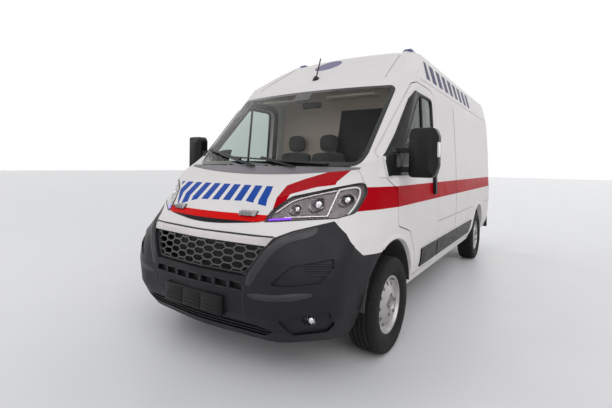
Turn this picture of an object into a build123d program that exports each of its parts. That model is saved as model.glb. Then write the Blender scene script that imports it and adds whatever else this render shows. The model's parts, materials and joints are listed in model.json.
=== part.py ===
from build123d import *
import functools
import math
import os

# An ambulance on a long panel van with a high roof, standing on its four wheels.
# Millimetres, +Z up, front towards -Y, +X the vehicle's left side.
# The origin is on the floor, below the middle of the vehicle.
# A lengthwise place is given as "back", the distance behind the front bumper.

# Driving dimensions
LENGTH = 5413.0
HEIGHT = 2522.0
WHEELBASE = 3450.0
FRONT_OVERHANG = 948.0
FRONT_TRACK = 1810.0
REAR_TRACK = 1790.0
TYRE_RADIUS = 338.0
TYRE_WIDTH = 210.0
RIM_RADIUS = 203.0
RIM_WIDTH = 168.0

# Walls and gaps
SIDE_WALL = 60.0
ROOF_WALL = 45.0
NOSE_WALL = 40.0
BONNET_WALL = 30.0
GLASS = 6.0
SEAT_GAP = 0.3

# Levels
FLOOR_TOP = 560.0
FLOOR_THICKNESS = 60.0
CAB_FLOOR_TOP = 480.0
SILL_BOTTOM = 335.0
ROOF_SEAM = 2105.0

# Lengthwise places
FRONT_AXLE = FRONT_OVERHANG
REAR_AXLE = FRONT_OVERHANG + WHEELBASE
BODY_REAR = LENGTH - 48.0
BULKHEAD_BACK = 2190.0
BULKHEAD_WALL = 40.0
DOOR_REAR = 2098.0
BONNET_REAR = 590.0
COWL_HALF = 845.0


def y_at(back):
    """Row coordinate of a place given as its distance behind the front bumper."""
    return back - LENGTH / 2


def outline(points, radius=0.0):
    """Closed face through points, with its corners rounded."""
    if isinstance(radius, (int, float)) and radius == 0:
        return make_face(Polyline(*points, close=True))
    return make_face(FilletPolyline(*points, radius=radius, close=True))


def from_side(points, x_low, x_high, radius=0.0):
    """Prism of a (back, z) outline, between two widths."""
    face = outline([(x_low, y_at(back), z) for back, z in points], radius)
    return extrude(face, amount=x_high - x_low, dir=(1, 0, 0))


def from_front(points, back_low, back_high, radius=0.0):
    """Prism of an (x, z) outline, between two lengthwise places."""
    face = outline([(x, y_at(back_low), z) for x, z in points], radius)
    return extrude(face, amount=back_high - back_low, dir=(0, 1, 0))


def from_top(points, z_low, z_high, radius=0.0):
    """Prism of an (x, back) outline, between two heights."""
    face = outline([(x, y_at(back), z_low) for x, back in points], radius)
    return extrude(face, amount=z_high - z_low, dir=(0, 0, 1))


def block(x_low, x_high, back_low, back_high, z_low, z_high):
    """Box between two widths, two lengthwise places and two heights."""
    size = (x_high - x_low, back_high - back_low, z_high - z_low)
    middle = ((x_low + x_high) / 2, y_at((back_low + back_high) / 2), (z_low + z_high) / 2)
    return Pos(*middle) * Box(*size)


def rod_x(x_low, x_high, back, z, radius):
    """Round bar along X."""
    middle = Pos((x_low + x_high) / 2, y_at(back), z)
    return middle * Rot(0, 90, 0) * Cylinder(radius, x_high - x_low)


def rod_y(back_low, back_high, x, z, radius):
    """Round bar along Y."""
    middle = Pos(x, y_at((back_low + back_high) / 2), z)
    return middle * Rot(90, 0, 0) * Cylinder(radius, back_high - back_low)


def rod_z(x, back, z_low, z_high, radius):
    """Upright round bar."""
    return Pos(x, y_at(back), (z_low + z_high) / 2) * Cylinder(radius, z_high - z_low)


def both_sides(shape):
    """A left piece and its mirror image on the right, as separate solids."""
    return Compound(children=list(shape.solids()) + list(mirror(shape, about=Plane.YZ).solids()))


def right_of(shape):
    """Mirror image of a left piece."""
    return mirror(shape, about=Plane.YZ)


# Cross-section of the body, right half: x, z, corner radius
SIDE_SECTION = [
    (932, SILL_BOTTOM, 25),
    (1000, 500, 400),
    (1025, 900, 3000),
    (1005, 1400, 6000),
    (958, 2050, 1200),
    (880, 2390, 140),
    (700, HEIGHT - 18, 300),
]


def half_width_at(z):
    """Half width of the body's cross-section at a height."""
    for (x_a, z_a, r_a), (x_b, z_b, r_b) in zip(SIDE_SECTION, SIDE_SECTION[1:]):
        if z <= z_b:
            return x_a + (x_b - x_a) * (z - z_a) / (z_b - z_a)
    return SIDE_SECTION[-1][0]


def body_prism(inset=0.0, back_low=-50.0, back_high=BODY_REAR):
    """The body's cross-section drawn out along its length, moved in by inset."""
    left = [(x, z) for x, z, radius in SIDE_SECTION]
    points = left + [(0, HEIGHT)] + [(-x, z) for x, z in reversed(left)]
    radii = [radius for x, z, radius in SIDE_SECTION]
    face = outline([(x, y_at(back_low), z) for x, z in points], radii + [5000] + radii[::-1])
    if inset:
        face = offset(face, amount=-inset)
    return extrude(face, amount=back_high - back_low, dir=(0, 1, 0))


# Windscreen: the lower edge at the middle, its slope, and its plan from the middle to the side
SCREEN_FOOT = (620.0, 1278.0)
SCREEN_SLOPE = math.radians(46.8)
SCREEN_PLAN = [(820, 105), (950, 205), (1060, 520), (1110, 1500), (1110, 7500)]
SCREEN_TURN = 150.0


def screen_wedge(shift=0.0):
    """Everything behind the windscreen's leaning, curved face."""
    foot_back, foot_z = SCREEN_FOOT
    low_z = 200.0
    start = foot_back + shift - (foot_z - low_z) / math.tan(SCREEN_SLOPE)
    half = [Vector(x, y_at(start + back), low_z) for x, back in SCREEN_PLAN]
    other = [Vector(-p.X, p.Y, p.Z) for p in half]
    front = ThreePointArc(other[0], Vector(0, y_at(start), low_z), half[0])
    face = make_face(Curve() + [front, Polyline(*half, *other[::-1])])
    corners = [v for v in face.vertices() if v.Y < half[1].Y + 1]
    face = fillet(corners, radius=SCREEN_TURN)
    lean = Vector(0, math.cos(SCREEN_SLOPE), math.sin(SCREEN_SLOPE))
    return extrude(face, amount=(2700 - low_z) / math.sin(SCREEN_SLOPE), dir=tuple(lean))


# Roof cap profile on the centreline: back, z, corner radius
ROOF_AXIS = 4400.0
ROOF_CAP = [
    (-100, 935, 0),
    (1462, 2148, 400),
    (2075, HEIGHT - 2, 500),
    (ROOF_AXIS, HEIGHT + 6, 0),
    (ROOF_AXIS, 900, 0),
    (-100, 200, 0),
]


def roof_dome(drop=0.0):
    """Turned solid whose top is the roof, with its front slope curved in plan."""
    points = [(0, y_at(back + drop), z - drop) for back, z, radius in ROOF_CAP]
    points[3] = (0, y_at(ROOF_AXIS), HEIGHT + 6 - drop)
    points[4] = (0, y_at(ROOF_AXIS), 200)
    points[5] = (0, y_at(-100 + drop), 200)
    face = outline(points, [radius for back, z, radius in ROOF_CAP])
    return revolve(face, axis=Axis((0, y_at(ROOF_AXIS), 0), (0, 0, 1)))


# Nose sections from the bumper up to the windscreen's foot.
# Columns: z, front at the middle, then x and back of the front corner, shoulder and flank,
# then the three corner radii
NOSE_SECTIONS = [
    (250, 90, 600, 150, 850, 400, 915, 640, 300, 300, 400),
    (330, 45, 610, 95, 890, 310, 945, 630, 330, 280, 500),
    (430, 8, 620, 52, 922, 240, 978, 630, 350, 240, 700),
    (560, 0, 620, 45, 932, 228, 998, 640, 350, 230, 900),
    (680, 12, 620, 58, 932, 245, 1004, 650, 350, 230, 900),
    (770, 32, 612, 80, 934, 290, 1006, 680, 360, 235, 900),
    (870, 58, 575, 112, 942, 400, 1005, 725, 400, 260, 900),
    (980, 85, 480, 175, 900, 440, 994, 760, 400, 260, 900),
    (1210, 290, 480, 365, 860, 560, 950, 790, 400, 260, 600),
    (1420, 430, 480, 490, 800, 690, 905, 850, 400, 200, 500),
]
NOSE_REAR = 1005.0


def nose_loft(inset=0.0):
    """Rounded nose in plan, drawn up through its sections, moved in by inset."""
    faces = []
    for z, mid, x1, b1, x2, b2, x3, b3, r1, r2, r3 in NOSE_SECTIONS:
        half = [
            (x1 - 0.3 * inset, b1 + inset),
            (x2 - 0.75 * inset, b2 + 0.75 * inset),
            (x3 - inset, b3 + 0.2 * inset),
            (half_width_at(z) - inset, NOSE_REAR),
        ]
        other = [(-x, back) for x, back in reversed(half)]
        points = other + [(0, mid + inset)] + half
        radii = [0, r3, r2, r1, 1500, r1, r2, r3, 0]
        faces.append(outline([(x, y_at(back), z) for x, back in points], radii))
    return loft(faces, ruled=True)


# Bonnet line in side view: its front and its slope
BONNET_FRONT = (100.0, 1027.0)
BONNET_SLOPE = math.radians(24.5)
BONNET_DEPTH = 84.0


def bonnet_line(back, drop=0.0):
    """Height of the bonnet's top at a lengthwise place."""
    front_back, front_z = BONNET_FRONT
    return front_z + (back - front_back) * math.tan(BONNET_SLOPE) - drop


def under_bonnet(drop=0.0):
    """Everything below the bonnet's top, lowered by drop."""
    front_back, front_z = BONNET_FRONT
    points = [
        (-80, 150),
        (-80, front_z - 190 - drop),
        (front_back, front_z - drop),
        (1500, bonnet_line(1500, drop)),
        (1500, 150),
    ]
    return from_side(points, -1200, 1200, [0, 0, 120, 0, 0])


def shut_plane(drop):
    """Everything below the plane on which the bonnet's flanks and lip close."""
    points = [(-100, 100), (-100, bonnet_line(-100, drop)), (1500, bonnet_line(1500, drop)), (1500, 100)]
    return from_side(points, -1200, 1200)


def behind_arc(back, z_low, z_high):
    """Region behind a curve in plan that runs parallel to the windscreen's foot."""
    sag = SCREEN_PLAN[0][1]
    half = SCREEN_PLAN[0][0]
    z = z_low
    ends = [Vector(-half, y_at(back + sag), z), Vector(half, y_at(back + sag), z)]
    arc = ThreePointArc(ends[0], Vector(0, y_at(back), z), ends[1])
    wide = 1300
    fall = sag + (wide - half) * 0.35
    tail = Polyline(
        ends[1],
        (wide, y_at(back + fall), z),
        (wide, y_at(6000), z),
        (-wide, y_at(6000), z),
        (-wide, y_at(back + fall), z),
        ends[0],
    )
    face = make_face(Curve() + [arc, tail])
    return extrude(face, amount=z_high - z_low, dir=(0, 0, 1))


def nose_solid(inset=0.0, drop=0.0):
    """Full nose with bonnet top, ahead of the doors."""
    return nose_loft(inset) & under_bonnet(drop)


def upper_solid(inset=0.0, shift=0.0, drop=0.0, rear=BODY_REAR):
    """Cab and load space above the nose, with the windscreen and the roof cap."""
    joint = NOSE_REAR - 1
    side_view = [(joint, 250), (joint, 1250), (550, 1250), (550, 2700), (rear, 2700), (rear, 250)]
    region = from_side(side_view, -1200, 1200)
    return body_prism(inset, -50, rear) & screen_wedge(shift) & roof_dome(drop) & region


# Walls of the body and the space inside it
SIDE_WALL_FULL = SIDE_WALL + 15.0
SLOPE_FACTOR = 1 / math.sin(SCREEN_SLOPE)


@functools.cache
def inner_solid(depth, rear_depth, roof_depth=ROOF_WALL):
    """Space left inside the body at an even depth below its skin."""
    return upper_solid(depth, depth * SLOPE_FACTOR, roof_depth, BODY_REAR - rear_depth)


SHELL = upper_solid() + nose_solid()
INSIDE = inner_solid(SIDE_WALL_FULL, SIDE_WALL_FULL)
DOOR_INSIDE = inner_solid(SIDE_WALL, SIDE_WALL)
NOSE = nose_solid() + (upper_solid() & block(-1200, 1200, 500, 1100, 1240, 1500))
NOSE_INSIDE = nose_solid(NOSE_WALL, BONNET_WALL)
ARCH_FRONT = (FRONT_AXLE, 370.0, 440.0)
ARCH_REAR = (REAR_AXLE, 375.0, 422.0)


def arch_opening(arch, grow=0.0, x_low=-1200, x_high=1200):
    """Round wheel opening seen from the side, with open legs down to the floor."""
    back, z, radius = arch
    r = radius + grow
    return rod_x(x_low, x_high, back, z, r) + block(x_low, x_high, back - r, back + r, 0, z)


# Seams of doors and windows seen from the side: back, z, corner radius
DOOR_SEAM = [
    (1462, 425, 40),
    (DOOR_REAR, 425, 40),
    (DOOR_REAR, 2045, 150),
    (1535, 2045, 110),
    (905, 1420, 60),
    (880, 1250, 50),
    (1008, 1160, 50),
    (1008, 900, 50),
    (1280, 830, 140),
    (1462, 600, 100),
]
WINDOW_SEAM = [
    (1130, 1290, 40),
    (1995, 1290, 60),
    (1990, 1965, 90),
    (1590, 1965, 70),
    (1090, 1430, 40),
]
SLIDING_SEAM = [(2215, 425, 40), (3385, 425, 40), (3385, 2045, 120), (2215, 2045, 120)]
SLIDING_WINDOW = [(2420, 1290, 60), (3180, 1290, 60), (3180, 1900, 60), (2420, 1900, 60)]
# Rear door opening and window seen from behind, left half: x, z
REAR_SEAM = [(905, 605), (905, 1400), (870, 2040), (800, 2400)]
REAR_WINDOW = [(150, 1290), (790, 1290), (765, 1900), (150, 1900)]
DOOR_GAP = 9.0
DOOR_BEVEL = 8.0
FLANGE = 22.0
DOOR_INNER_X = 846.0


def seam_prism(seam, grow=0.0, x_low=300, x_high=1200):
    """Prism of a rounded seam in side view, grown or shrunk evenly."""
    radii = [radius for back, z, radius in seam]
    face = outline([(x_low, y_at(back), z) for back, z, radius in seam], radii)
    if grow:
        face = offset(face, amount=grow)
    return extrude(face, amount=x_high - x_low, dir=(1, 0, 0))


def rear_prism(grow, back_low, back_high):
    """Prism of the rear door opening seen from behind."""
    points = REAR_SEAM + [(-x, z) for x, z in reversed(REAR_SEAM)]
    radii = [40, 400, 400, 120, 120, 400, 400, 40]
    face = outline([(x, y_at(back_low), z) for x, z in points], radii)
    if grow:
        face = offset(face, amount=grow)
    return extrude(face, amount=back_high - back_low, dir=(0, 1, 0))


# Panels of the nose seen from the front, left side: x, z
BUMPER_EDGE = [
    (415, 650),
    (530, 838),
    (560, 885),
    (640, 925),
    (830, 982),
    (905, 910),
    (950, 840),
    (975, 770),
    (1100, 715),
]
GRILLE_EDGE = [(-418, 655), (418, 655), (528, 838), (-528, 838)]
BAR_HALF = [(529.6, 838.3), (559.4, 885), (559.4, 889.7)]
# Left headlamp seen from the front: x, z, corner radius
LAMP_EDGE = [
    (458, 966, 3),
    (474, 1036, 60),
    (552, 1118, 70),
    (905, 1214, 16),
    (926, 1150, 120),
    (912, 1024, 30),
    (840, 996, 30),
]
LAMP_REAR = 715.0
SLOT_COUNT = 7
SLOT_SIZE = (104.0, 46.0)
SLOT_PITCH = 118.0
SLOT_Z = 588.0
PLATE_BOLTS = (480.0, 3.2)
PLATE_Z = 466.0
BONNET_GAP = 6.0
BUMP_STOP = (430.0, 175.0, 10.0)
FIXED_GAP = 0.4
FOG_PLACE = (790.0, 425.0)
FOG_RADIUS = 34.0
# Inner corner of the cut behind the bonnet's rear corner: x, back
BONNET_CORNER = (848.0, 668.0)
# Recesses in the bumper seen from the front: x, z, corner radius
CHEEK_EDGE = [(600, 628, 6), (700, 738, 30), (896, 782, 12), (906, 736, 20), (858, 650, 20), (710, 625, 30)]
FOG_EDGE = [(640, 420, 10), (800, 470, 20), (900, 484, 12), (905, 400, 20), (860, 345, 12), (690, 318, 10)]
LIP_EDGE = [(-530, 298, 8), (-605, 345, 8), (-480, 366, 20), (480, 366, 20), (605, 345, 8), (530, 298, 8)]
RECESS_DEPTH = 14.0
RIB_DROP = 4.0
# Ribs that stand in the recesses: x low, x high, z low, z high
CHEEK_RIBS = [(740, 905, 742, 750), (760, 905, 717, 725), (780, 905, 692, 700)]
LIP_RIBS = [(-620, 620, 316, 322), (-620, 620, 340, 346)]


def bumper_zone(grow=0.0):
    """Everything below and outside the bumper's upper edge, seen from the front."""
    left = [(x, z + grow) for x, z in BUMPER_EDGE] + [(1100, 100)]
    points = left + [(-x, z) for x, z in reversed(left)]
    return from_front(points, -100, 1000)


def lamp_zone(grow=0.0):
    """Left headlamp's opening seen from the front."""
    start = -100
    radii = [radius for x, z, radius in LAMP_EDGE]
    face = outline([(x, y_at(start), z) for x, z, radius in LAMP_EDGE], radii)
    if grow:
        face = offset(face, amount=grow)
    return extrude(face, amount=LAMP_REAR - start, dir=(0, 1, 0))


def behind_corner(gap=0.0):
    """Block behind the bonnet's left rear corner, ahead of the door."""
    x_low, back_low = BONNET_CORNER
    return block(x_low + gap, 1200, back_low + gap, 1200, 1100, 1500)


def make_bonnet():
    """Bonnet skin with its rolled lip, cut out round the headlamps and ahead of the cowl."""
    bonnet = NOSE - NOSE_INSIDE - shut_plane(BONNET_DEPTH) - behind_arc(BONNET_REAR, 800, 1700)
    for cut in (behind_corner(), lamp_zone(BONNET_GAP)):
        bonnet = bonnet - cut - right_of(cut)
    return max(bonnet.solids(), key=lambda solid: solid.volume)


SCREEN_EDGE = [(-815, 1322), (815, 1322), (838, 1420), (838, 2011), (-838, 2011), (-838, 1420)]
SCREEN_RADII = [70, 70, 60, 60, 60, 60]
SCREEN_FOOT_X = 762.0
COWL_TOP = 1316.0
WING_TOP = 1338.0


def screen_zone(grow=0.0):
    """Windscreen opening seen from the front."""
    start = 400
    face = outline([(x, y_at(start), z) for x, z in SCREEN_EDGE], SCREEN_RADII)
    if grow:
        face = offset(face, amount=grow)
    return extrude(face, amount=1300, dir=(0, 1, 0))


def make_wing(nose_shell, bonnet_free):
    """Left front wing between the lamp, the bonnet, the bumper and the door."""
    side = block(566, 1200, 100, NOSE_REAR, 300, WING_TOP)
    side = side - block(500, COWL_HALF, 100, BONNET_REAR + 300, 1250, COWL_TOP + SEAT_GAP)
    side = side - block(500, SCREEN_FOOT_X, 100, BONNET_REAR + 300, 1250, 1500) - screen_zone(FIXED_GAP)
    wing = nose_shell & side & bonnet_free
    wing = wing - bumper_zone(FIXED_GAP) - lamp_zone(FIXED_GAP) - arch_opening(ARCH_FRONT)
    wing = wing - seam_prism(DOOR_SEAM, DOOR_GAP)
    wing = wing - block(500, 848, 0, 700, 880, 1040)
    return max(wing.solids(), key=lambda solid: solid.volume)


def make_nose_panel(nose_shell):
    """Painted panel that joins the headlamps above the grille."""
    panel = nose_shell & shut_plane(BONNET_DEPTH + BONNET_GAP) & block(-846, 846, -50, 700, 890, 1060)
    lamps = lamp_zone(FIXED_GAP)
    panel = panel - bumper_zone(FIXED_GAP) - lamps - right_of(lamps)
    panel = max(panel.solids(), key=lambda solid: solid.volume)
    x, back, radius = BUMP_STOP
    for side in (1, -1):
        panel = panel + (rod_z(side * x, back, 900, 1000, radius) & shut_plane(BONNET_DEPTH + SEAT_GAP))
    return panel


def make_bumper(nose_shell):
    """Moulded front bumper with its slots, plate recess and fog lamp holes."""
    bumper = nose_shell & bumper_zone() & block(-1100, 1100, -50, 900, 255, 1100)
    bumper = bumper - arch_opening(ARCH_FRONT)
    width, height = SLOT_SIZE
    for index in range(SLOT_COUNT):
        middle = (index - (SLOT_COUNT - 1) / 2) * SLOT_PITCH
        low = SLOT_Z - height / 2
        bumper = bumper - block(middle - width / 2, middle + width / 2, -50, 200, low, low + height)
    for side in (1, -1):
        bumper = bumper - rod_y(-50, 400, side * FOG_PLACE[0], FOG_PLACE[1], FOG_RADIUS)
        bumper = bumper - rod_y(-50, 200, side * PLATE_BOLTS[0] / 2, PLATE_Z, PLATE_BOLTS[1])
    for edge, ribs in ((CHEEK_EDGE, CHEEK_RIBS), (FOG_EDGE, [])):
        pocket = make_recess(edge, ribs)
        bumper = bumper - pocket - right_of(pocket)
    return bumper - make_recess(LIP_EDGE, LIP_RIBS)


def make_recess(edge, ribs):
    """Shallow pocket in the nose's skin, seen from the front, with ribs left standing in it."""
    radii = [radius for x, z, radius in edge]
    pocket = from_front([(x, z) for x, z, radius in edge], -60, 500, radii) - nose_loft(RECESS_DEPTH)
    for x_low, x_high, z_low, z_high in ribs:
        rib = block(x_low, x_high, -60, 500, z_low, z_high) & nose_loft(RIB_DROP)
        pocket = pocket - rib
    return pocket


HEX_WIDTH = 96.0
HEX_HEIGHT = 36.0
HEX_WEB = 9.0
HEX_ROWS = 5


def make_grille_mesh():
    """Honeycomb of long flat hexagons in a frame, set back behind the bumper's skin."""
    plate = from_front(GRILLE_EDGE, -50, 300, 14) & nose_loft(22) & under_bonnet(5)
    plate = plate - nose_loft(38)
    inner = from_front([(-402, 668), (402, 668), (505, 826), (-505, 826)], -60, 310, 10)
    tip = 0.22 * HEX_WIDTH
    pitch_x = HEX_WIDTH - tip + HEX_WEB
    pitch_z = HEX_HEIGHT + HEX_WEB
    holes = []
    columns = 7
    for column in range(-columns, columns + 1):
        for row in range(HEX_ROWS + 1):
            x = column * pitch_x
            z = 668 + row * pitch_z + (pitch_z / 2 if column % 2 else 0) - 8
            w = HEX_WIDTH / 2
            h = HEX_HEIGHT / 2
            low_half = [(x - w, z), (x - w + tip, z - h), (x + w - tip, z - h)]
            high_half = [(x + w, z), (x + w - tip, z + h), (x - w + tip, z + h)]
            holes.append(from_front(low_half + high_half, -60, 310))
    cut = Compound(children=holes) & inner
    return plate - cut


def make_grille_bar():
    """Bright bar along the top of the grille."""
    points = BAR_HALF + [(-x, z) for x, z in reversed(BAR_HALF)]
    bar = from_front(points, -60, 300) & nose_loft(0.5)
    return bar - nose_loft(26)


# Reflector bowls of the left headlamp: x, z, radius, depth behind the lens
REFLECTORS = [(600, 1045, 28, 60), (705, 1076, 42, 80), (850, 1106, 36, 80)]
LENS_THICKNESS = 4.0
LAMP_DEPTH = 95.0


def make_headlamp():
    """Left headlamp: a housing with reflector bowls, and its clear lens."""
    room = lamp_zone() & block(400, 960, 50, LAMP_REAR - FIXED_GAP, 950, 1240)
    behind_lens = nose_loft(LENS_THICKNESS)
    lens = room & nose_solid() - behind_lens
    body = (room & behind_lens) - nose_loft(LAMP_DEPTH)
    for x, z, radius, depth in REFLECTORS:
        bowl = rod_y(0, LAMP_REAR, x, z, radius)
        body = body - (bowl - nose_loft(depth))
    return body, lens


def make_cowl():
    """Plastic cowl panel between the bonnet and the windscreen."""
    half = COWL_HALF - SEAT_GAP
    zone = block(-half, half, 500, 900, 1150, COWL_TOP) & behind_arc(BONNET_REAR + BONNET_GAP, 1100, 1400)
    return (NOSE & zone) - NOSE_INSIDE - inner_solid(28, 100)


def make_windscreen():
    """Curved windscreen glass in its opening."""
    return (upper_solid() & screen_zone()) - screen_wedge(GLASS * SLOPE_FACTOR)


# Wiper arms and blades on the windscreen seen from the front: x, z
WIPER_BLADES = [
    [(-330, 1392), (-330, 1380), (590, 1332), (590, 1344)],
    [(-800, 1467), (-806, 1457), (-250, 1362), (-244, 1373)],
]
WIPER_ARMS = [
    [(-20, 1392), (-20, 1372), (300, 1319), (340, 1319)],
    [(-560, 1432), (-560, 1410), (-90, 1319), (-44, 1319)],
]


def make_wipers():
    """Two wipers parked along the foot of the windscreen."""
    layer = screen_wedge(-20 * SLOPE_FACTOR) - screen_wedge(-SEAT_GAP * SLOPE_FACTOR)
    pieces = []
    for blade, arm in zip(WIPER_BLADES, WIPER_ARMS):
        pieces.append((from_front(blade, 300, 1300) + from_front(arm, 300, 1300)) & layer)
    return Compound(children=[solid for piece in pieces for solid in piece.solids()])


def make_door():
    """Left front door shell with its window opening."""
    door = SHELL & seam_prism(DOOR_SEAM, 0, DOOR_INNER_X)
    door = door - DOOR_INSIDE - NOSE_INSIDE - seam_prism(WINDOW_SEAM)
    edge = block(300, 1200, DOOR_REAR - DOOR_BEVEL, DOOR_REAR + 1, 400, 2100)
    door = door - (edge & body_prism(12, 1900, 2200))
    return max(door.solids(), key=lambda solid: solid.volume)


def make_side_glass(seam):
    """Pane that fills a window opening just below the skin."""
    pane = seam_prism(seam, -SEAT_GAP) & inner_solid(5, 5, 5)
    return pane - inner_solid(5 + GLASS, 5 + GLASS, 5 + GLASS)


SIDE_X = 842.5
HEADER_LOW = 2011.0 + FIXED_GAP


def make_side(door_seams):
    """Left body side with its pillars and sill, open for the doors and the wheels."""
    region = block(SIDE_X, 1200, 500, BODY_REAR + 10, 300, ROOF_SEAM - FIXED_GAP)
    pillar_foot = block(SCREEN_FOOT_X, SIDE_X + 1, 500, 1700, WING_TOP, HEADER_LOW - FIXED_GAP)
    region = region + (pillar_foot - screen_zone(FIXED_GAP))
    side = (SHELL - INSIDE) & region
    side = side - block(700, 1200, 400, NOSE_REAR, 200, WING_TOP + FIXED_GAP)
    for seam, gap in door_seams:
        outer = seam_prism(seam, gap) - DOOR_INSIDE_TIGHT
        side = side - outer - seam_prism(seam, -FLANGE)
    side = side - arch_opening(ARCH_FRONT) - arch_opening(ARCH_REAR)
    side = side - (rear_prism(DOOR_GAP, BODY_REAR - SIDE_WALL - SEAT_GAP, BODY_REAR + 50))
    side = side - rear_prism(-FLANGE, BODY_REAR - 200, BODY_REAR + 50)
    side = side - tail_lamp_block(SEAT_GAP)
    return max(side.solids(), key=lambda solid: solid.volume)


def tail_lamp_block(grow=0.0):
    """Corner recess of the left tail lamp."""
    return block(922 - grow, 1100, BODY_REAR - 40 - grow, BODY_REAR + 60, 960 - grow, 1480 + grow)


def make_tail_lamp():
    """Left tail lamp on the rear corner pillar."""
    return body_prism(0, 5000, BODY_REAR + 8) & tail_lamp_block()


DOOR_INSIDE_TIGHT = inner_solid(SIDE_WALL + SEAT_GAP, SIDE_WALL + SEAT_GAP)


def make_roof():
    """Roof panel with its front cap and rear header."""
    region = block(-1200, 1200, 500, BODY_REAR + 10, ROOF_SEAM, 2700)
    half = SIDE_X - FIXED_GAP
    region = region + block(-half, half, 1100, 1700, HEADER_LOW, ROOF_SEAM + 10)
    roof = (SHELL - INSIDE) & region
    roof = roof - rear_prism(DOOR_GAP, BODY_REAR - SIDE_WALL - SEAT_GAP, BODY_REAR + 50)
    roof = roof - rear_prism(-FLANGE, BODY_REAR - 200, BODY_REAR + 50)
    return max(roof.solids(), key=lambda solid: solid.volume)


def make_rear_door():
    """Left rear door with its window opening."""
    door = SHELL & rear_prism(0, BODY_REAR - SIDE_WALL, BODY_REAR + 10)
    door = door & block(4, 1200, 5000, 5500, 0, 2700)
    window = outline([(x, y_at(5000), z) for x, z in REAR_WINDOW], 60)
    door = door - extrude(window, amount=500, dir=(0, 1, 0))
    return door


def make_rear_glass():
    """Pane of the left rear door."""
    window = outline([(x, y_at(BODY_REAR - 12), z) for x, z in REAR_WINDOW], 60)
    pane = extrude(offset(window, amount=-SEAT_GAP), amount=GLASS, dir=(0, 1, 0))
    return pane


RAIL_X = 500.0
RAIL_WIDTH = 80.0
RAIL_BOTTOM = 440.0
RAIL_FRONT = 118.0
DASH_WALL_BACK = NOSE_REAR - 1 - SEAT_GAP
DASH_WALL = 23.0
DASH_WALL_TOP = 1180.0
REAR_LINER_X = 720.0
SPRING_TOP = 408.0
STRETCHER_BOLTS = (500.0, 1400.0, 3700.0, 5.5)


def make_floor():
    """Cab floor, load floor, box rails and cross members in one welded floor pan."""
    low = FLOOR_TOP - FLOOR_THICKNESS
    cab_low = CAB_FLOOR_TOP - 40
    width = inner_solid(SIDE_WALL_FULL + SEAT_GAP, SIDE_WALL_FULL + SEAT_GAP)
    load = width & block(-1200, 1200, BULKHEAD_BACK, 5400, low, FLOOR_TOP)
    cab = width & block(-1200, 1200, 1420, BULKHEAD_BACK + 1, cab_low, CAB_FLOOR_TOP)
    cab = cab + block(-590, 590, DASH_WALL_BACK - DASH_WALL, 1421, cab_low, CAB_FLOOR_TOP)
    step = width & block(-1200, 1200, BULKHEAD_BACK - 60, BULKHEAD_BACK + 1, cab_low, FLOOR_TOP)
    floor = load + cab + step
    for side in (1, -1):
        x_low = side * RAIL_X - RAIL_WIDTH / 2
        x_high = side * RAIL_X + RAIL_WIDTH / 2
        floor = floor + block(x_low, x_high, RAIL_FRONT, BULKHEAD_BACK, RAIL_BOTTOM - 60, cab_low + 1)
        floor = floor + block(x_low, x_high, BULKHEAD_BACK - 60, 5280, RAIL_BOTTOM, low + 1)
        for back in (REAR_AXLE - 640, REAR_AXLE + 640):
            seat = block(x_low, x_high, back - 40, back + 40, SPRING_TOP + SEAT_GAP, RAIL_BOTTOM + 1)
            floor = floor + seat
        arch_x = sorted((side * (REAR_LINER_X - SEAT_GAP), side * 1200))
        floor = floor - arch_opening(ARCH_REAR, SEAT_GAP, *arch_x)
    for back in (2400, 3400, 5000):
        floor = floor + block(-RAIL_X, RAIL_X, back - 30, back + 30, RAIL_BOTTOM, low + 1)
    rear_sill = block(-840, 840, 5283, BODY_REAR - FIXED_GAP, 420, 592)
    floor = floor + rear_sill
    spacing_x, spacing_y, middle, radius = STRETCHER_BOLTS
    for side in (1, -1):
        for end in (1, -1):
            floor = floor - rod_z(side * spacing_x / 2, middle + end * spacing_y / 2, 400, 600, radius)
    return floor


def make_dash_wall():
    """Steel wall between the engine and the cab."""
    low = CAB_FLOOR_TOP + SEAT_GAP
    half = [(590, low), (590, 830), (870, 830), (870, DASH_WALL_TOP)]
    points = half + [(-x, z) for x, z in reversed(half)]
    return from_front(points, DASH_WALL_BACK - DASH_WALL, DASH_WALL_BACK)


def make_bulkhead():
    """Partition between the cab and the patient space."""
    space = inner_solid(SIDE_WALL_FULL + SEAT_GAP, SIDE_WALL_FULL, ROOF_WALL + SEAT_GAP)
    rear = BULKHEAD_BACK + BULKHEAD_WALL
    return space & block(-1200, 1200, BULKHEAD_BACK, rear, FLOOR_TOP + SEAT_GAP, 2600)


DASH_FACE = NOSE_REAR - 1
# Dashboard seen from the side: back, z, corner radius
DASH_PROFILE = [
    (DASH_FACE, 1250, 0),
    (1060, 1258, 20),
    (1230, 1205, 60),
    (1350, 1105, 40),
    (1370, 960, 50),
    (1250, 860, 30),
    (DASH_FACE, 860, 0),
]
# Shelf that runs forward to the windscreen: back, z
DASH_SHELF = [
    (655, DASH_WALL_TOP + SEAT_GAP),
    (655, 1236),
    (DASH_FACE + 1, 1250),
    (DASH_FACE + 1, DASH_WALL_TOP + SEAT_GAP),
]
WHEEL_CENTRE = (415.0, 1500.0, 1150.0)
WHEEL_TILT = 50.0
WHEEL_RADIUS = 190.0
HUB_DEPTH = 34.0


def column_place():
    """Frame of the steering wheel: its axis points up and back to the driver."""
    x, back, z = WHEEL_CENTRE
    return Pos(x, y_at(back), z) * Rot(-WHEEL_TILT, 0, 0)


def make_steering_wheel():
    """Rim, three spokes and hub of the steering wheel."""
    rim = Torus(WHEEL_RADIUS, 16)
    wheel = rim + Cylinder(58, HUB_DEPTH)
    for angle in (0, 180, 270):
        wheel = wheel + Rot(0, 0, angle) * Pos(WHEEL_RADIUS / 2, 0, 0) * Box(WHEEL_RADIUS, 36, 14)
    return column_place() * wheel


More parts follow.
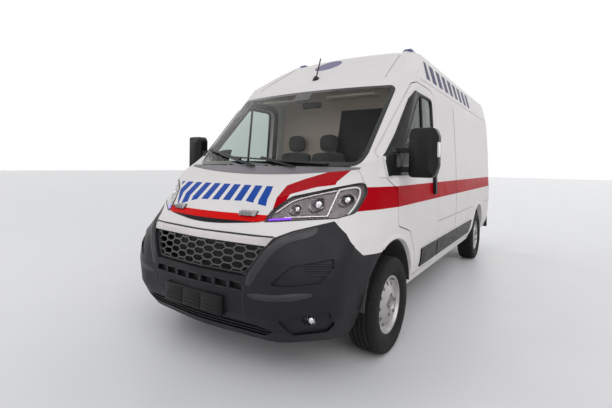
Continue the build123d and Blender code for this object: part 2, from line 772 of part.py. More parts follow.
def make_dashboard():
    """Dashboard moulding with the steering column."""
    radii = [radius for back, z, radius in DASH_PROFILE]
    dash = from_side([(back, z) for back, z, radius in DASH_PROFILE], -880, 880, radii)
    shelf = from_side(DASH_SHELF, -790, 790) & screen_wedge(40 * SLOPE_FACTOR)
    hood = from_side([(1090, 1190), (1120, 1290), (1250, 1262), (1290, 1170)], 250, 580, 14)
    column = column_place() * Pos(0, 0, -HUB_DEPTH / 2 - SEAT_GAP - 120) * Cylinder(32, 240)
    return (dash & inner_solid(SIDE_WALL_FULL + 1, SIDE_WALL_FULL + 1)) + shelf + hood + column


# Seats: x low, x high, number of places
SEAT_ROWS = [(165, 665, 1), (-860, 20, 2)]
SEAT_BACK = 1560.0
SEAT_DEPTH = 430.0
SEAT_BASE_TOP = 760.0
BACKREST_TOP = 1480.0


def make_seats():
    """Seat bases and, apart from them, the cushions with their head restraints."""
    bases = []
    cushions = []
    low = SEAT_BASE_TOP + SEAT_GAP
    cushion_points = [
        (SEAT_BACK, low + 20),
        (SEAT_BACK, 890),
        (SEAT_BACK + SEAT_DEPTH, 870),
        (SEAT_BACK + SEAT_DEPTH, low),
        (SEAT_BACK + 60, low),
    ]
    start = SEAT_BACK + SEAT_DEPTH + SEAT_GAP
    rest_points = [
        (start, low),
        (start, 870),
        (start + 50, BACKREST_TOP),
        (start + 150, BACKREST_TOP),
        (start + 120, low),
    ]
    foot = CAB_FLOOR_TOP + SEAT_GAP
    for x_low, x_high, places in SEAT_ROWS:
        bases.append(block(x_low + 40, x_high - 40, SEAT_BACK + 60, SEAT_BACK + 440, foot, SEAT_BASE_TOP))
        width = (x_high - x_low) / places
        for index in range(places):
            left = x_low + width * index + (SEAT_GAP if index else 0)
            right = x_low + width * (index + 1)
            cushions.append(from_side(cushion_points, left, right, [30, 40, 0, 0, 0]))
            cushions.append(from_side(rest_points, left, right, [0, 0, 40, 40, 0]))
            middle = (left + right) / 2
            head_low = BACKREST_TOP + SEAT_GAP
            head = block(middle - 120, middle + 120, start + 60, start + 150, head_low, 1680)
            cushions.append(fillet(head.edges().filter_by(Axis.Y), 30))
    return Compound(children=bases), Compound(children=cushions)


# Cabinet: inner x, back low, back high, top
CABINET = (470.0, 2480.0, 3900.0, 1850.0)
# Its open shelf: depth to x, z low, z high
CABINET_SHELF = (800.0, 1250.0, 1560.0)


def make_cabinet():
    """Equipment cabinet along the left wall of the patient space, with one open shelf."""
    x_low, back_low, back_high, top = CABINET
    shelf_x, shelf_low, shelf_high = CABINET_SHELF
    space = inner_solid(SIDE_WALL_FULL + SEAT_GAP, SIDE_WALL_FULL + SEAT_GAP)
    cabinet = space & block(x_low, 1200, back_low, back_high, FLOOR_TOP + SEAT_GAP, top)
    for back in (back_low + 40, (back_low + back_high) / 2 + 20):
        cabinet = cabinet - block(x_low - 10, shelf_x, back, back + 640, shelf_low, shelf_high)
    return cabinet


SUBFRAME_TOP = 351.0
GEARBOX_X = 399.0


def make_engine():
    """Engine and gearbox as one plain block at their real place."""
    low = SUBFRAME_TOP + SEAT_GAP
    gearbox = block(-GEARBOX_X, GEARBOX_X, 799, 955, 295, 470) - block(-440, 440, 798, 1000, 200, low)
    return block(-440, GEARBOX_X, 300, 800, low, 930) + gearbox


def make_radiator():
    """Cooling pack between the front rails."""
    half = RAIL_X - RAIL_WIDTH / 2 - SEAT_GAP
    return block(-half, half, 190, 240, 380, 860)


HUB_Z = TYRE_RADIUS
SUBFRAME_LOW = 262.0
ARM_HALF = 26.0
KNUCKLE_X = 790.0
KNUCKLE_LOW = 300.0
KNUCKLE_TOP = 455.0
STRUT_TUBE = 27.0
STRUT_SPRING = 50.0
STRUT_ROD = 12.0
LINER_WALL = 10.0
STRUT_X = 700.0
BRAKE_RADIUS = 145.0
HUB_BORE = 30.0
HUB_REACH = 68.0


def make_front_suspension():
    """Subframe with control arms, spring struts and drive shafts."""
    rail_low = RAIL_BOTTOM - 60 - SEAT_GAP
    frame = block(-430, 430, 640, 700, SUBFRAME_LOW, SUBFRAME_TOP)
    frame = frame + block(-430, 430, 1080, 1140, 300, rail_low)
    for side in (1, -1):
        low, high = sorted((side * 350, side * 430))
        frame = frame + block(low, high, 640, 1140, SUBFRAME_LOW, SUBFRAME_TOP)
        low, high = sorted((side * 350, side * 530))
        frame = frame + block(low, high, 1080, 1140, 300, rail_low)
    arm_points = [
        (400, FRONT_AXLE - 200),
        (770, FRONT_AXLE - ARM_HALF),
        (815, FRONT_AXLE - ARM_HALF),
        (815, FRONT_AXLE + ARM_HALF),
        (770, FRONT_AXLE + ARM_HALF),
        (400, FRONT_AXLE + 160),
    ]
    arm = from_top(arm_points, SUBFRAME_LOW, SUBFRAME_LOW + 24)
    ball = rod_z(800, FRONT_AXLE, 270, KNUCKLE_LOW - SEAT_GAP, 20)
    liner_inner = ARCH_FRONT[2] - LINER_WALL
    top = ARCH_FRONT[1] + math.sqrt(liner_inner ** 2 - STRUT_ROD ** 2) - SEAT_GAP
    strut = rod_z(STRUT_X, FRONT_AXLE, 475, 760, STRUT_TUBE)
    strut = strut + rod_z(STRUT_X, FRONT_AXLE, 600, 770, STRUT_SPRING)
    strut = strut + rod_z(STRUT_X, FRONT_AXLE, 760, top, STRUT_ROD)
    foot_x = KNUCKLE_X
    foot = block(STRUT_X - 27, foot_x, FRONT_AXLE - 27, FRONT_AXLE + 27, KNUCKLE_TOP + SEAT_GAP, 490)
    strut = strut + foot
    start = GEARBOX_X + SEAT_GAP
    shaft = rod_x(start, 755, FRONT_AXLE, HUB_Z, 16) + rod_x(start, 430, FRONT_AXLE, HUB_Z, 40)
    frame = frame + arm + ball + right_of(arm + ball)
    return frame, strut, shaft


def make_knuckle():
    """Left steering knuckle with its spindle, brake disc and steering arm."""
    carrier = block(KNUCKLE_X, 845, FRONT_AXLE - 55, FRONT_AXLE + 55, KNUCKLE_LOW, KNUCKLE_TOP)
    spindle = rod_x(840, FRONT_TRACK / 2 + HUB_REACH, FRONT_AXLE, HUB_Z, HUB_BORE - SEAT_GAP)
    disc = rod_x(872, 896, FRONT_AXLE, HUB_Z, BRAKE_RADIUS)
    caliper = block(845, 925, FRONT_AXLE - 155, FRONT_AXLE - 90, HUB_Z - 70, HUB_Z + 70)
    bracket = block(800, 850, FRONT_AXLE - 150, FRONT_AXLE - 40, HUB_Z - 20, HUB_Z + 20)
    arm = block(800, 830, FRONT_AXLE + 40, FRONT_AXLE + 150, 305, 330)
    return carrier + spindle + disc + caliper + bracket + arm


# Tyre section, outer half: across from the middle, radius, corner radius
TYRE_SECTION = [
    (TYRE_WIDTH / 2 - 23, RIM_RADIUS, 8),
    (TYRE_WIDTH / 2, 262, 60),
    (TYRE_WIDTH / 2 - 1, 312, 26),
    (TYRE_WIDTH / 2 - 25, TYRE_RADIUS, 14),
]
RIM_GAP = 0.3


def make_tyre():
    """Tyre as a turned ring about X."""
    half = [(x, r) for x, r, corner in TYRE_SECTION]
    radii = [corner for x, r, corner in TYRE_SECTION]
    points = half + [(-x, r) for x, r in reversed(half)]
    face = outline([(x, 0, r) for x, r in points], radii + radii[::-1])
    return revolve(face, axis=Axis.X)


# Rim section: across from the wheel's middle (outer side positive), radius
RIM_SECTION = [
    (-RIM_WIDTH / 2, 196),
    (-RIM_WIDTH / 2, RIM_RADIUS - RIM_GAP),
    (RIM_WIDTH / 2, RIM_RADIUS - RIM_GAP),
    (RIM_WIDTH / 2, 194),
    (64, 184),
    (58, 160),
    (72, 128),
    (84, 100),
    (92, 86),
    (92, 62),
    (74, 56),
    (72, HUB_BORE),
    (50, HUB_BORE),
    (50, 82),
    (40, 96),
    (46, 165),
    (52, 188),
    (-70, 190),
]
HOLE_COUNT = 12
HOLE_RADIUS = 15.0
HOLE_CIRCLE = 146.0


def make_rim():
    """Pressed steel wheel with a ring of cooling holes and a raised hub ring."""
    face = outline([(x, 0, r) for x, r in RIM_SECTION])
    rim = revolve(face, axis=Axis.X)
    for index in range(HOLE_COUNT):
        angle = 360 / HOLE_COUNT * index
        rim = rim - Rot(angle, 0, 0) * Pos(55, 0, HOLE_CIRCLE) * Rot(0, 90, 0) * Cylinder(HOLE_RADIUS, 90)
    return rim


def make_rear_axle():
    """Rear beam with brake drums, leaf springs and spindles."""
    axle = rod_x(-790, 790, REAR_AXLE, HUB_Z, 44)
    for side in (1, -1):
        low, high = sorted((side * 770, side * 815))
        axle = axle + rod_x(low, high, REAR_AXLE, HUB_Z, 140)
        low, high = sorted((side * 800, side * (REAR_TRACK / 2 + HUB_REACH)))
        axle = axle + rod_x(low, high, REAR_AXLE, HUB_Z, HUB_BORE - SEAT_GAP)
        mid = HUB_Z + 44
        upper = [(-680, SPRING_TOP), (-250, mid + 18), (250, mid + 18), (680, SPRING_TOP)]
        lower = [(680, SPRING_TOP - 18), (250, mid - 4), (-250, mid - 4), (-680, SPRING_TOP - 18)]
        points = [(REAR_AXLE + along, z) for along, z in upper + lower]
        axle = axle + from_side(points, side * RAIL_X - 35, side * RAIL_X + 35)
    return axle


def make_liner(arch, x_low, x_high, depth, top_gap):
    """Left wheel arch liner: a round shell with an inner wall."""
    back, z, radius = arch
    outer = rod_x(x_low, x_high, back, z, radius - top_gap)
    inner = rod_x(x_low + depth, x_high + 10, back, z, radius - LINER_WALL)
    return outer - inner - block(0, 1300, back - 600, back + 600, -200, z + 40)


TANK_PLACE = (560.0, 840.0, 2260.0, 3330.0)
EXHAUST_RADIUS = 28.0
SILENCER_RADIUS = 85.0


def make_fuel_tank():
    """Fuel tank under the load floor, left of the rails."""
    x_low, x_high, back_low, back_high = TANK_PLACE
    tank = block(x_low, x_high, back_low, back_high, 300, FLOOR_TOP - FLOOR_THICKNESS - SEAT_GAP)
    return fillet(tank.edges().filter_by(Axis.Y).sort_by(Axis.Z)[:2], 45)


def make_exhaust():
    """Exhaust pipe with its silencer, hung from the cross members and bent over the axle."""
    x = -300.0
    z = 360.0
    over = HUB_Z + 44 + EXHAUST_RADIUS + 25
    route = [
        (1180, z),
        (REAR_AXLE - 330, z),
        (REAR_AXLE - 130, over),
        (REAR_AXLE + 130, over),
        (REAR_AXLE + 330, z),
        (5180, z),
    ]
    path = FilletPolyline(*[(x, y_at(back), height) for back, height in route], radius=120)
    pipe = sweep(Plane(origin=path @ 0, z_dir=path % 0) * Circle(EXHAUST_RADIUS), path=path)
    pipe = pipe + rod_y(2500, 3250, x, z, SILENCER_RADIUS)
    for back in (2400, 3400, 5000):
        pipe = pipe + rod_z(x, back, z, RAIL_BOTTOM - SEAT_GAP, 8)
    return pipe


def make_rear_bumper():
    """Rear bumper with its step."""
    front = BODY_REAR + FIXED_GAP
    left = [(920, LENGTH), (1000, front + 14), (1000, front)]
    points = [(-x, back) for x, back in reversed(left)] + left
    return from_top(points, 350, 585, [0, 8, 30, 30, 8, 0])


STRIP_LOW = 470.0
STRIP_HIGH = 625.0
STRIP_PROUD = 13.0


def make_strip(back_low, back_high, slant=0.0):
    """Left rub strip between two lengthwise places."""
    lower = [(back_low, STRIP_LOW), (back_high, STRIP_LOW)]
    upper = [(back_high + slant, STRIP_HIGH), (back_low, STRIP_HIGH)]
    zone = from_side(lower + upper, 900, 1200)
    strip = (body_prism(-STRIP_PROUD, 1100, 4000) & zone) - body_prism(-SEAT_GAP, 1000, 4100)
    return strip


# Mirror head seen from the front, from above and from the side, each with corner radii
MIRROR_FRONT = [
    (1085, 1250, 30),
    (1262, 1250, 45),
    (1285, 1340, 60),
    (1285, 1540, 60),
    (1262, 1602, 40),
    (1110, 1602, 40),
    (1085, 1560, 30),
]
MIRROR_TOP = [
    (1080, 1095, 8),
    (1080, 1010, 25),
    (1150, 975, 60),
    (1240, 985, 60),
    (1290, 1045, 25),
    (1290, 1095, 8),
]
MIRROR_SIDE = [
    (1096, 1245, 8),
    (1010, 1250, 30),
    (975, 1330, 70),
    (975, 1530, 70),
    (1010, 1604, 30),
    (1096, 1604, 8),
]
MIRROR_ARMS = [(1285, 1325), (1425, 1460)]


def make_mirror():
    """Left door mirror: base on the door, two arms and the rounded head."""
    base_points = [(905, 1262), (1290, 1262), (1370, 1480), (1300, 1480), (960, 1415), (905, 1380)]
    mirror_piece = from_side(base_points, 850, 1100) & inner_solid(-16, -16, -16)
    for low, high in MIRROR_ARMS:
        mirror_piece = mirror_piece + block(960, 1110, 1020, 1072, low, high)
    head = from_front([(x, z) for x, z, r in MIRROR_FRONT], 900, 1200, [r for x, z, r in MIRROR_FRONT])
    plan = from_top([(x, b) for x, b, r in MIRROR_TOP], 1200, 1700, [r for x, b, r in MIRROR_TOP])
    flank = from_side([(b, z) for b, z, r in MIRROR_SIDE], 1000, 1400, [r for b, z, r in MIRROR_SIDE])
    head = head & plan & flank
    skin = inner_solid(-SEAT_GAP, -SEAT_GAP, -SEAT_GAP) + nose_solid(-SEAT_GAP, -SEAT_GAP)
    return (mirror_piece + head) - skin


def make_handle():
    """Left door handle, an upright grip."""
    grip = block(1000, 1100, 1925, 1975, 1080, 1250) & body_prism(-28, 1800, 2100)
    return grip - body_prism(-SEAT_GAP, 1700, 2200)


# Left beacon: x low, x high, back low, back high, top
BEACON = (596.0, 706.0, 2195.0, 2350.0, 2548.0)


def make_beacon():
    """Left low roof beacon."""
    x_low, x_high, back_low, back_high, top = BEACON
    points = [(x_low, back_low), (x_high, back_low), (x_high, back_high), (x_low, back_high)]
    beacon = from_top(points, ROOF_SEAM, top, 34)
    beacon = fillet(beacon.edges().group_by(Axis.Z)[-1], 30)
    return beacon - body_prism(-SEAT_GAP, 2000, 2500)


def make_antenna():
    """Radio antenna on the roof cap."""
    foot = Pos(0, y_at(1475), 2156) * Rot(-35, 0, 0) * Cylinder(28, 40)
    mast_length = 245.0
    lean = Vector(0, 90, 232).normalized()
    start = Vector(0, y_at(1470), 2150)
    mast = extrude(Plane(origin=start, z_dir=lean) * Circle(6), amount=mast_length)
    return (foot + mast) - roof_dome(-SEAT_GAP)


def make_flashers():
    """Two flat flashers on the bonnet's lip."""
    pieces = []
    for side in (1, -1):
        pieces.append(block(side * 330 - 60, side * 330 + 60, 60, 300, 1000, 1030))
    lamps = Compound(children=pieces) & (nose_loft(-14))
    return lamps - nose_loft(-SEAT_GAP)


def write(name, shape):
    """Save one named piece."""
    solids = shape.solids()
    piece = solids[0] if len(solids) == 1 else Compound(children=list(solids))
    export_step(piece, "parts/" + name + ".step")
    return piece


def build():
    os.makedirs("parts", exist_ok=True)
    nose_shell = NOSE - NOSE_INSIDE
    bonnet_free = shut_plane(BONNET_DEPTH + BONNET_GAP) + behind_arc(BONNET_REAR + BONNET_GAP, 800, 1700)
    bonnet_free = bonnet_free + behind_corner(BONNET_GAP)
    write("bonnet", make_bonnet())
    write("bonnet_flashers", make_flashers())
    write("front_wings", both_sides(make_wing(nose_shell, bonnet_free)))
    write("nose_panel", make_nose_panel(nose_shell))
    write("front_bumper", make_bumper(nose_shell))
    write("grille_mesh", make_grille_mesh())
    write("grille_bar", make_grille_bar())
    lamp, lens = make_headlamp()
    write("headlamp_housings", both_sides(lamp))
    write("headlamp_lenses", both_sides(lens))
    write("cowl_panel", make_cowl())
    write("windscreen", make_windscreen())
    write("wipers", make_wipers())
    door = make_door()
    door_glass = make_side_glass(WINDOW_SEAM)
    strip = make_strip(1610, DOOR_REAR - 4)
    trim = Compound(children=list(make_handle().solids()) + list(strip.solids()))
    door_mirror = make_mirror()
    for name, turn in (("left", lambda shape: shape), ("right", right_of)):
        write("door_" + name, turn(door))
        write("door_" + name + "_glass", turn(door_glass))
        write("door_" + name + "_trim", turn(trim))
        write("door_" + name + "_mirror", turn(door_mirror))
    write("body_side_left", make_side([(DOOR_SEAM, DOOR_GAP)]))
    side_right = make_side([(DOOR_SEAM, DOOR_GAP), (SLIDING_SEAM, FIXED_GAP)])
    write("body_side_right", right_of(side_right))
    slider = (SHELL & seam_prism(SLIDING_SEAM)) - DOOR_INSIDE - seam_prism(SLIDING_WINDOW)
    write("sliding_door", right_of(slider))
    write("sliding_door_glass", right_of(make_side_glass(SLIDING_WINDOW)))
    write("roof", make_roof())
    rear_door = make_rear_door()
    rear_glass = make_rear_glass()
    for name, turn in (("left", lambda shape: shape), ("right", right_of)):
        write("rear_door_" + name, turn(rear_door))
        write("rear_door_" + name + "_glass", turn(rear_glass))
    write("tail_lamps", both_sides(make_tail_lamp()))
    write("floor_pan", make_floor())
    write("dash_wall", make_dash_wall())
    write("bulkhead", make_bulkhead())
    write("dashboard", make_dashboard())
    write("steering_wheel", make_steering_wheel())
    write("patient_cabinet", make_cabinet())
    bases, cushions = make_seats()
    write("seat_bases", bases)
    write("seat_cushions", cushions)
    frame, strut, shaft = make_front_suspension()
    write("engine_block", make_engine())
    write("radiator", make_radiator())
    solids = list(frame.solids()) + list(both_sides(strut).solids()) + list(both_sides(shaft).solids())
    write("front_suspension", Compound(children=solids))
    knuckle = make_knuckle()
    write("knuckle_left", knuckle)
    write("knuckle_right", right_of(knuckle))
    tyre = make_tyre()
    rim = make_rim()
    for name, track, back in (("front", FRONT_TRACK, FRONT_AXLE), ("rear", REAR_TRACK, REAR_AXLE)):
        place = Pos(track / 2, y_at(back), HUB_Z)
        write("tyre_" + name + "_left", place * tyre)
        write("rim_" + name + "_left", place * rim)
        write("tyre_" + name + "_right", right_of(place * tyre))
        write("rim_" + name + "_right", right_of(place * rim))
    write("rear_axle", make_rear_axle())
    liners = list(both_sides(make_liner(ARCH_FRONT, 600, 985, 0, SEAT_GAP)).solids())
    liners += list(both_sides(make_liner(ARCH_REAR, REAR_LINER_X, 955, 8, SEAT_GAP)).solids())
    write("wheel_arch_liners", Compound(children=liners))
    write("fuel_tank", make_fuel_tank())
    write("exhaust", make_exhaust())
    write("rear_bumper", make_rear_bumper())
    strips = list(both_sides(make_strip(2125, 3750, 130)).solids())
    write("body_rub_strips", Compound(children=strips))
    write("roof_beacons", both_sides(make_beacon()))
    write("radio_antenna", make_antenna())


build()
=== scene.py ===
# %% [markdown]
# # An ambulance van, dressed for a picture
#
# The van's panels, doors, wheels and seats arrive as plain solids at their real size. This lesson
# gives each of them its finish, and adds what is too small or too soft for the solids: tyre tread,
# lamp internals, seams, handles, stripes and seat covers. Everything is in metres, with the front
# of the van towards -Y and its left side towards +X.

# %% Load the van
import json
import math

import bmesh
import bpy
from mathutils import Matrix, Vector
from mathutils.bvhtree import BVHTree


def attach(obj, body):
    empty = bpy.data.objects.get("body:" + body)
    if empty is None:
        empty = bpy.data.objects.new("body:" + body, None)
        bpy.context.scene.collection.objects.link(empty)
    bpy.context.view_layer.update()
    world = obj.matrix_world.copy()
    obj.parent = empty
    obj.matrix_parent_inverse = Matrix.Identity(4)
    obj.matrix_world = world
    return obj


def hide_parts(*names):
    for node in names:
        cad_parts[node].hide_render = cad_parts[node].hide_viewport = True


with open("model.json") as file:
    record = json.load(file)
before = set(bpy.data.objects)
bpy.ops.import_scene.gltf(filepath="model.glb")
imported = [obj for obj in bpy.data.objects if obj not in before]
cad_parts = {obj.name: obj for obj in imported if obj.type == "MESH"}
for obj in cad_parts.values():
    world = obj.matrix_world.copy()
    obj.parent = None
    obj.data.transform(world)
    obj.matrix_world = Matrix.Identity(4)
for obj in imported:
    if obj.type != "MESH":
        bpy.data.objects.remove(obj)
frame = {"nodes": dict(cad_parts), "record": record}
NODES = frame["nodes"]
BODY_OF = {node: body for body, members in frame["record"]["behaviour"]["bodies"].items() for node in members}
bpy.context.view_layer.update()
LENGTH = 5.413
TRACKS = {"front": 1.810, "rear": 1.790}
AXLES = {"front": 0.948, "rear": 4.398}
TYRE_RADIUS = 0.338
SIDES = (("left", 1), ("right", -1))
print("solids loaded:", len(NODES))


def y_at(back):
    """Place along the van, given as the distance behind the front bumper."""
    return back - LENGTH / 2


# %% [markdown]
# The camera stands ahead of the van's left corner, at a little over the height of the bonnet. It
# looks along its own -Z, so its matrix is built from the directions right, up and backwards.

# %% Camera
CAMERA_PLACE = Vector((1.966, y_at(-1.653), 1.323))
CAMERA_YAW = 0.5845
CAMERA_PITCH = -0.01714
CAMERA_ROLL = 0.01611
CAMERA_LENS = 22.34
CAMERA_SHIFT = (0.0009, -0.0522)
forward = Vector((
    -math.sin(CAMERA_YAW) * math.cos(CAMERA_PITCH),
    math.cos(CAMERA_YAW) * math.cos(CAMERA_PITCH),
    math.sin(CAMERA_PITCH),
))
level = forward.cross(Vector((0, 0, 1))).normalized()
upright = level.cross(forward)
right = level * math.cos(CAMERA_ROLL) + upright * math.sin(CAMERA_ROLL)
up = upright * math.cos(CAMERA_ROLL) - level * math.sin(CAMERA_ROLL)
camera_data = bpy.data.cameras.new("camera")
camera_data.sensor_width = 36
camera_data.lens = CAMERA_LENS
camera_data.shift_x, camera_data.shift_y = CAMERA_SHIFT
camera = bpy.data.objects.new("camera", camera_data)
turn = Matrix((right, up, -forward)).transposed().to_4x4()
camera.matrix_world = Matrix.Translation(CAMERA_PLACE) @ turn
bpy.context.scene.collection.objects.link(camera)
bpy.context.scene.camera = camera
print("camera at", [round(value, 3) for value in CAMERA_PLACE], "lens", camera_data.lens)

# %% [markdown]
# Most finishes here are one Principled shader with a little unevenness in its roughness and a fine
# bump, because no real paint or plastic is perfectly even. The patterns read Object coordinates,
# and since every piece sits at the origin, those are simply metres on the van.

# %% Helpers for finishes


def connect(finish, source, target):
    """Link two sockets of a finish."""
    finish.node_tree.links.new(source, target)


def shader(name, color, roughness, metallic=0.0, **values):
    """A Principled finish with plain values on its own sockets."""
    finish = bpy.data.materials.new(name)
    finish.use_nodes = True
    sockets = finish.node_tree.nodes["Principled BSDF"].inputs
    sockets["Base Color"].default_value = (*color, 1)
    sockets["Roughness"].default_value = roughness
    sockets["Metallic"].default_value = metallic
    for key, value in values.items():
        sockets[key.replace("_", " ")].default_value = value
    return finish


def add(finish, kind, **settings):
    """A new node, with its settings."""
    made = finish.node_tree.nodes.new("ShaderNode" + kind)
    for key, value in settings.items():
        setattr(made, key, value)
    return made


def principled(finish):
    """The finish's main shader."""
    return finish.node_tree.nodes["Principled BSDF"]


def metres(finish):
    """Object coordinates."""
    return add(finish, "TexCoord").outputs["Object"]


# %% [markdown]
# Noise does three jobs: it lets the roughness wander, it lifts a fine relief, and it mottles the
# colour. Each job is one function that takes a finish and gives it back, so they can be nested.

# %% Unevenness


def noise(finish, scale, detail=3.0):
    """Noise with so many cells to a metre."""
    made = add(finish, "TexNoise")
    made.inputs["Scale"].default_value = scale
    made.inputs["Detail"].default_value = detail
    connect(finish, metres(finish), made.inputs["Vector"])
    return made.outputs["Fac"]


def spread(finish, value, low, high):
    """Map noise onto a range."""
    made = add(finish, "MapRange")
    made.inputs["From Min"].default_value = 0.3
    made.inputs["From Max"].default_value = 0.7
    made.inputs["To Min"].default_value = low
    made.inputs["To Max"].default_value = high
    connect(finish, value, made.inputs["Value"])
    return made.outputs["Result"]


def uneven(finish, scale, low, high):
    """Roughness that wanders between two values."""
    rough = spread(finish, noise(finish, scale), low, high)
    connect(finish, rough, principled(finish).inputs["Roughness"])
    return finish


def bumpy(finish, scale, height, detail=3.0):
    """Fine relief of a given height in metres."""
    made = add(finish, "Bump")
    made.inputs["Strength"].default_value = 1.0
    made.inputs["Distance"].default_value = height
    connect(finish, noise(finish, scale, detail), made.inputs["Height"])
    connect(finish, made.outputs["Normal"], principled(finish).inputs["Normal"])
    return finish


def mottled(finish, scale, first, second):
    """Base colour that wanders between two colours."""
    mix = add(finish, "Mix", data_type="RGBA")
    mix.inputs[6].default_value = (*first, 1)
    mix.inputs[7].default_value = (*second, 1)
    connect(finish, spread(finish, noise(finish, scale), 0, 1), mix.inputs[0])
    connect(finish, mix.outputs[2], principled(finish).inputs["Base Color"])
    return finish


# %% [markdown]
# ## White paint with its stripes
#
# The stripes on the real van are foil stuck on the paint. They could be cut as thin meshes, but
# they cross several panels and would have to be cut at each gap. A mask in the paint does it in one
# go: a stripe is a region of space bounded by planes, and the foil's colour shows inside it.

# %% Helpers for stripes


def operate(finish, operation, first, second=None):
    """One arithmetic step between sockets or numbers."""
    made = add(finish, "Math", operation=operation)
    for socket, value in zip(made.inputs, (first, second)):
        if value is None:
            continue
        if isinstance(value, (int, float)):
            socket.default_value = value
        else:
            connect(finish, value, socket)
    return made.outputs[0]


def folded_metres(finish):
    """Object coordinates with the right side folded onto the left."""
    split = add(finish, "SeparateXYZ")
    connect(finish, metres(finish), split.inputs[0])
    join = add(finish, "CombineXYZ")
    connect(finish, operate(finish, "ABSOLUTE", split.outputs[0]), join.inputs[0])
    connect(finish, split.outputs[1], join.inputs[1])
    connect(finish, split.outputs[2], join.inputs[2])
    return join.outputs[0]


def along(finish, point, direction):
    """Distance of a point along a direction."""
    made = add(finish, "VectorMath", operation="DOT_PRODUCT")
    connect(finish, point, made.inputs[0])
    made.inputs[1].default_value = direction
    return made.outputs["Value"]


# %% [markdown]
# A half space is one comparison of a distance. A slab is two half spaces, and a convex polygon is
# as many as it has sides. Their product is 1 only where all of them are 1.

# %% Masks


def beyond(finish, point, direction, distance):
    """1 where the point lies further along a direction than a distance."""
    return operate(finish, "GREATER_THAN", along(finish, point, direction), distance)


def every(finish, tests):
    """1 where every test is 1."""
    result = tests[0]
    for test in tests[1:]:
        result = operate(finish, "MULTIPLY", result, test)
    return result


def either(finish, masks):
    """1 where any mask is 1."""
    result = masks[0]
    for mask in masks[1:]:
        result = operate(finish, "MAXIMUM", result, mask)
    return result


def slab(finish, point, direction, low, high):
    """1 between two distances along a direction."""
    opposite = tuple(-value for value in direction)
    return every(finish, [beyond(finish, point, direction, low), beyond(finish, point, opposite, -high)])


def inside_polygon(finish, point, corners):
    """1 inside a convex polygon of (x, back) corners in plan, counter-clockwise."""
    tests = []
    for (x_a, back_a), (x_b, back_b) in zip(corners, corners[1:] + corners[:1]):
        across = (back_a - back_b, x_b - x_a, 0)
        start = across[0] * x_a + across[1] * y_at(back_a)
        tests.append(beyond(finish, point, across, start))
    return every(finish, tests)


# %% [markdown]
# Foil mixes its colour over whatever colour the paint already has, so that several can be laid one
# after the other. The paint itself is white, a little uneven, with a thin clear coat.

# %% Foil and white paint
WHITE = (0.80, 0.765, 0.755)
WHITE_SHADE = (0.77, 0.735, 0.73)


def foil(finish, mask, color):
    """Lay a colour over the base colour inside a mask."""
    target = principled(finish).inputs["Base Color"]
    mix = add(finish, "Mix", data_type="RGBA")
    if target.is_linked:
        connect(finish, target.links[0].from_socket, mix.inputs[6])
    else:
        mix.inputs[6].default_value = target.default_value
    mix.inputs[7].default_value = (*color, 1)
    connect(finish, mask, mix.inputs[0])
    connect(finish, mix.outputs[2], target)


def white_paint(name):
    """Gloss white with a clear coat."""
    paint = shader(name, WHITE, 0.35, Coat_Weight=0.02, Coat_Roughness=0.05, Specular_IOR_Level=0.02)
    mottled(paint, 1.3, WHITE, WHITE_SHADE)
    return uneven(paint, 6.0, 0.30, 0.42)


# %% [markdown]
# One red stripe runs round both flanks at a constant level, from the headlamps to the rear.

# %% Paint of the flanks
RED = (0.42, 0.001, 0.007)
STRIPE_LEVELS = (1.035, 1.185)
STRIPE_START = 0.50
side_paint = white_paint("white_paint_side")
point = folded_metres(side_paint)
foil(side_paint, every(side_paint, [
    slab(side_paint, point, (0, 0, 1), *STRIPE_LEVELS),
    beyond(side_paint, point, (1, 0, 0), 0.86),
    beyond(side_paint, point, (0, 1, 0), y_at(STRIPE_START)),
]), RED)
print("flank stripe between", STRIPE_LEVELS)

# %% [markdown]
# The bonnet's stripe bends twice on its way from the lip to the windscreen. A bent shape isn't
# convex, so it is the sum of five small polygons that are. The lip has a brighter red band, and
# under it the rolled edge lies in shade.

# %% Paint of the bonnet
LIP_RED = (0.66, 0.008, 0.008)
LIP_SHADE = (0.020, 0.017, 0.019)
LIP_BANDS = [(0.90, 0.966, LIP_SHADE), (0.966, 1.008, LIP_RED)]
LIP_HALF = 0.53
LIP_BACK = (-0.1, 0.24)
BONNET_STRIPE = [
    [(0.507, 0.05), (0.535, 0.05), (0.518, 0.231), (0.470, 0.261)],
    [(0.470, 0.261), (0.518, 0.231), (0.536, 0.343), (0.428, 0.446)],
    [(0.428, 0.446), (0.536, 0.343), (0.651, 0.432), (0.509, 0.545)],
    [(0.509, 0.545), (0.651, 0.432), (0.772, 0.509), (0.678, 0.696)],
    [(0.678, 0.696), (0.772, 0.509), (0.800, 0.749)],
]
bonnet_paint = white_paint("white_paint_bonnet")
plain_point = metres(bonnet_paint)
stripe_parts = [inside_polygon(bonnet_paint, plain_point, corners) for corners in BONNET_STRIPE]
foil(bonnet_paint, either(bonnet_paint, stripe_parts), RED)
lip_point = folded_metres(bonnet_paint)
for low_level, high_level, color in LIP_BANDS:
    foil(bonnet_paint, every(bonnet_paint, [
        slab(bonnet_paint, lip_point, (0, 0, 1), low_level, high_level),
        slab(bonnet_paint, lip_point, (1, 0, 0), -1.0, LIP_HALF),
        slab(bonnet_paint, lip_point, (0, 1, 0), *[y_at(back) for back in LIP_BACK]),
    ]), color)
print("bonnet stripe in", len(BONNET_STRIPE), "polygons, lip in", len(LIP_BANDS), "bands")

# %% [markdown]
# A row of slanted blue bars crosses the bonnet, and a second one runs along the roof. Each is made
# of stripes: the distance along the row, divided by the pitch, keeps only its fraction, and a bar
# shows where that fraction is small.

# %% Slanted bars


def bar_row(finish, row_direction, pitch, share):
    """1 on every bar of an endless row: its direction, pitch and filled share."""
    distance = operate(finish, "ADD", along(finish, metres(finish), row_direction), 20)
    fraction = operate(finish, "FRACT", operate(finish, "DIVIDE", distance, pitch))
    return operate(finish, "LESS_THAN", fraction, share)


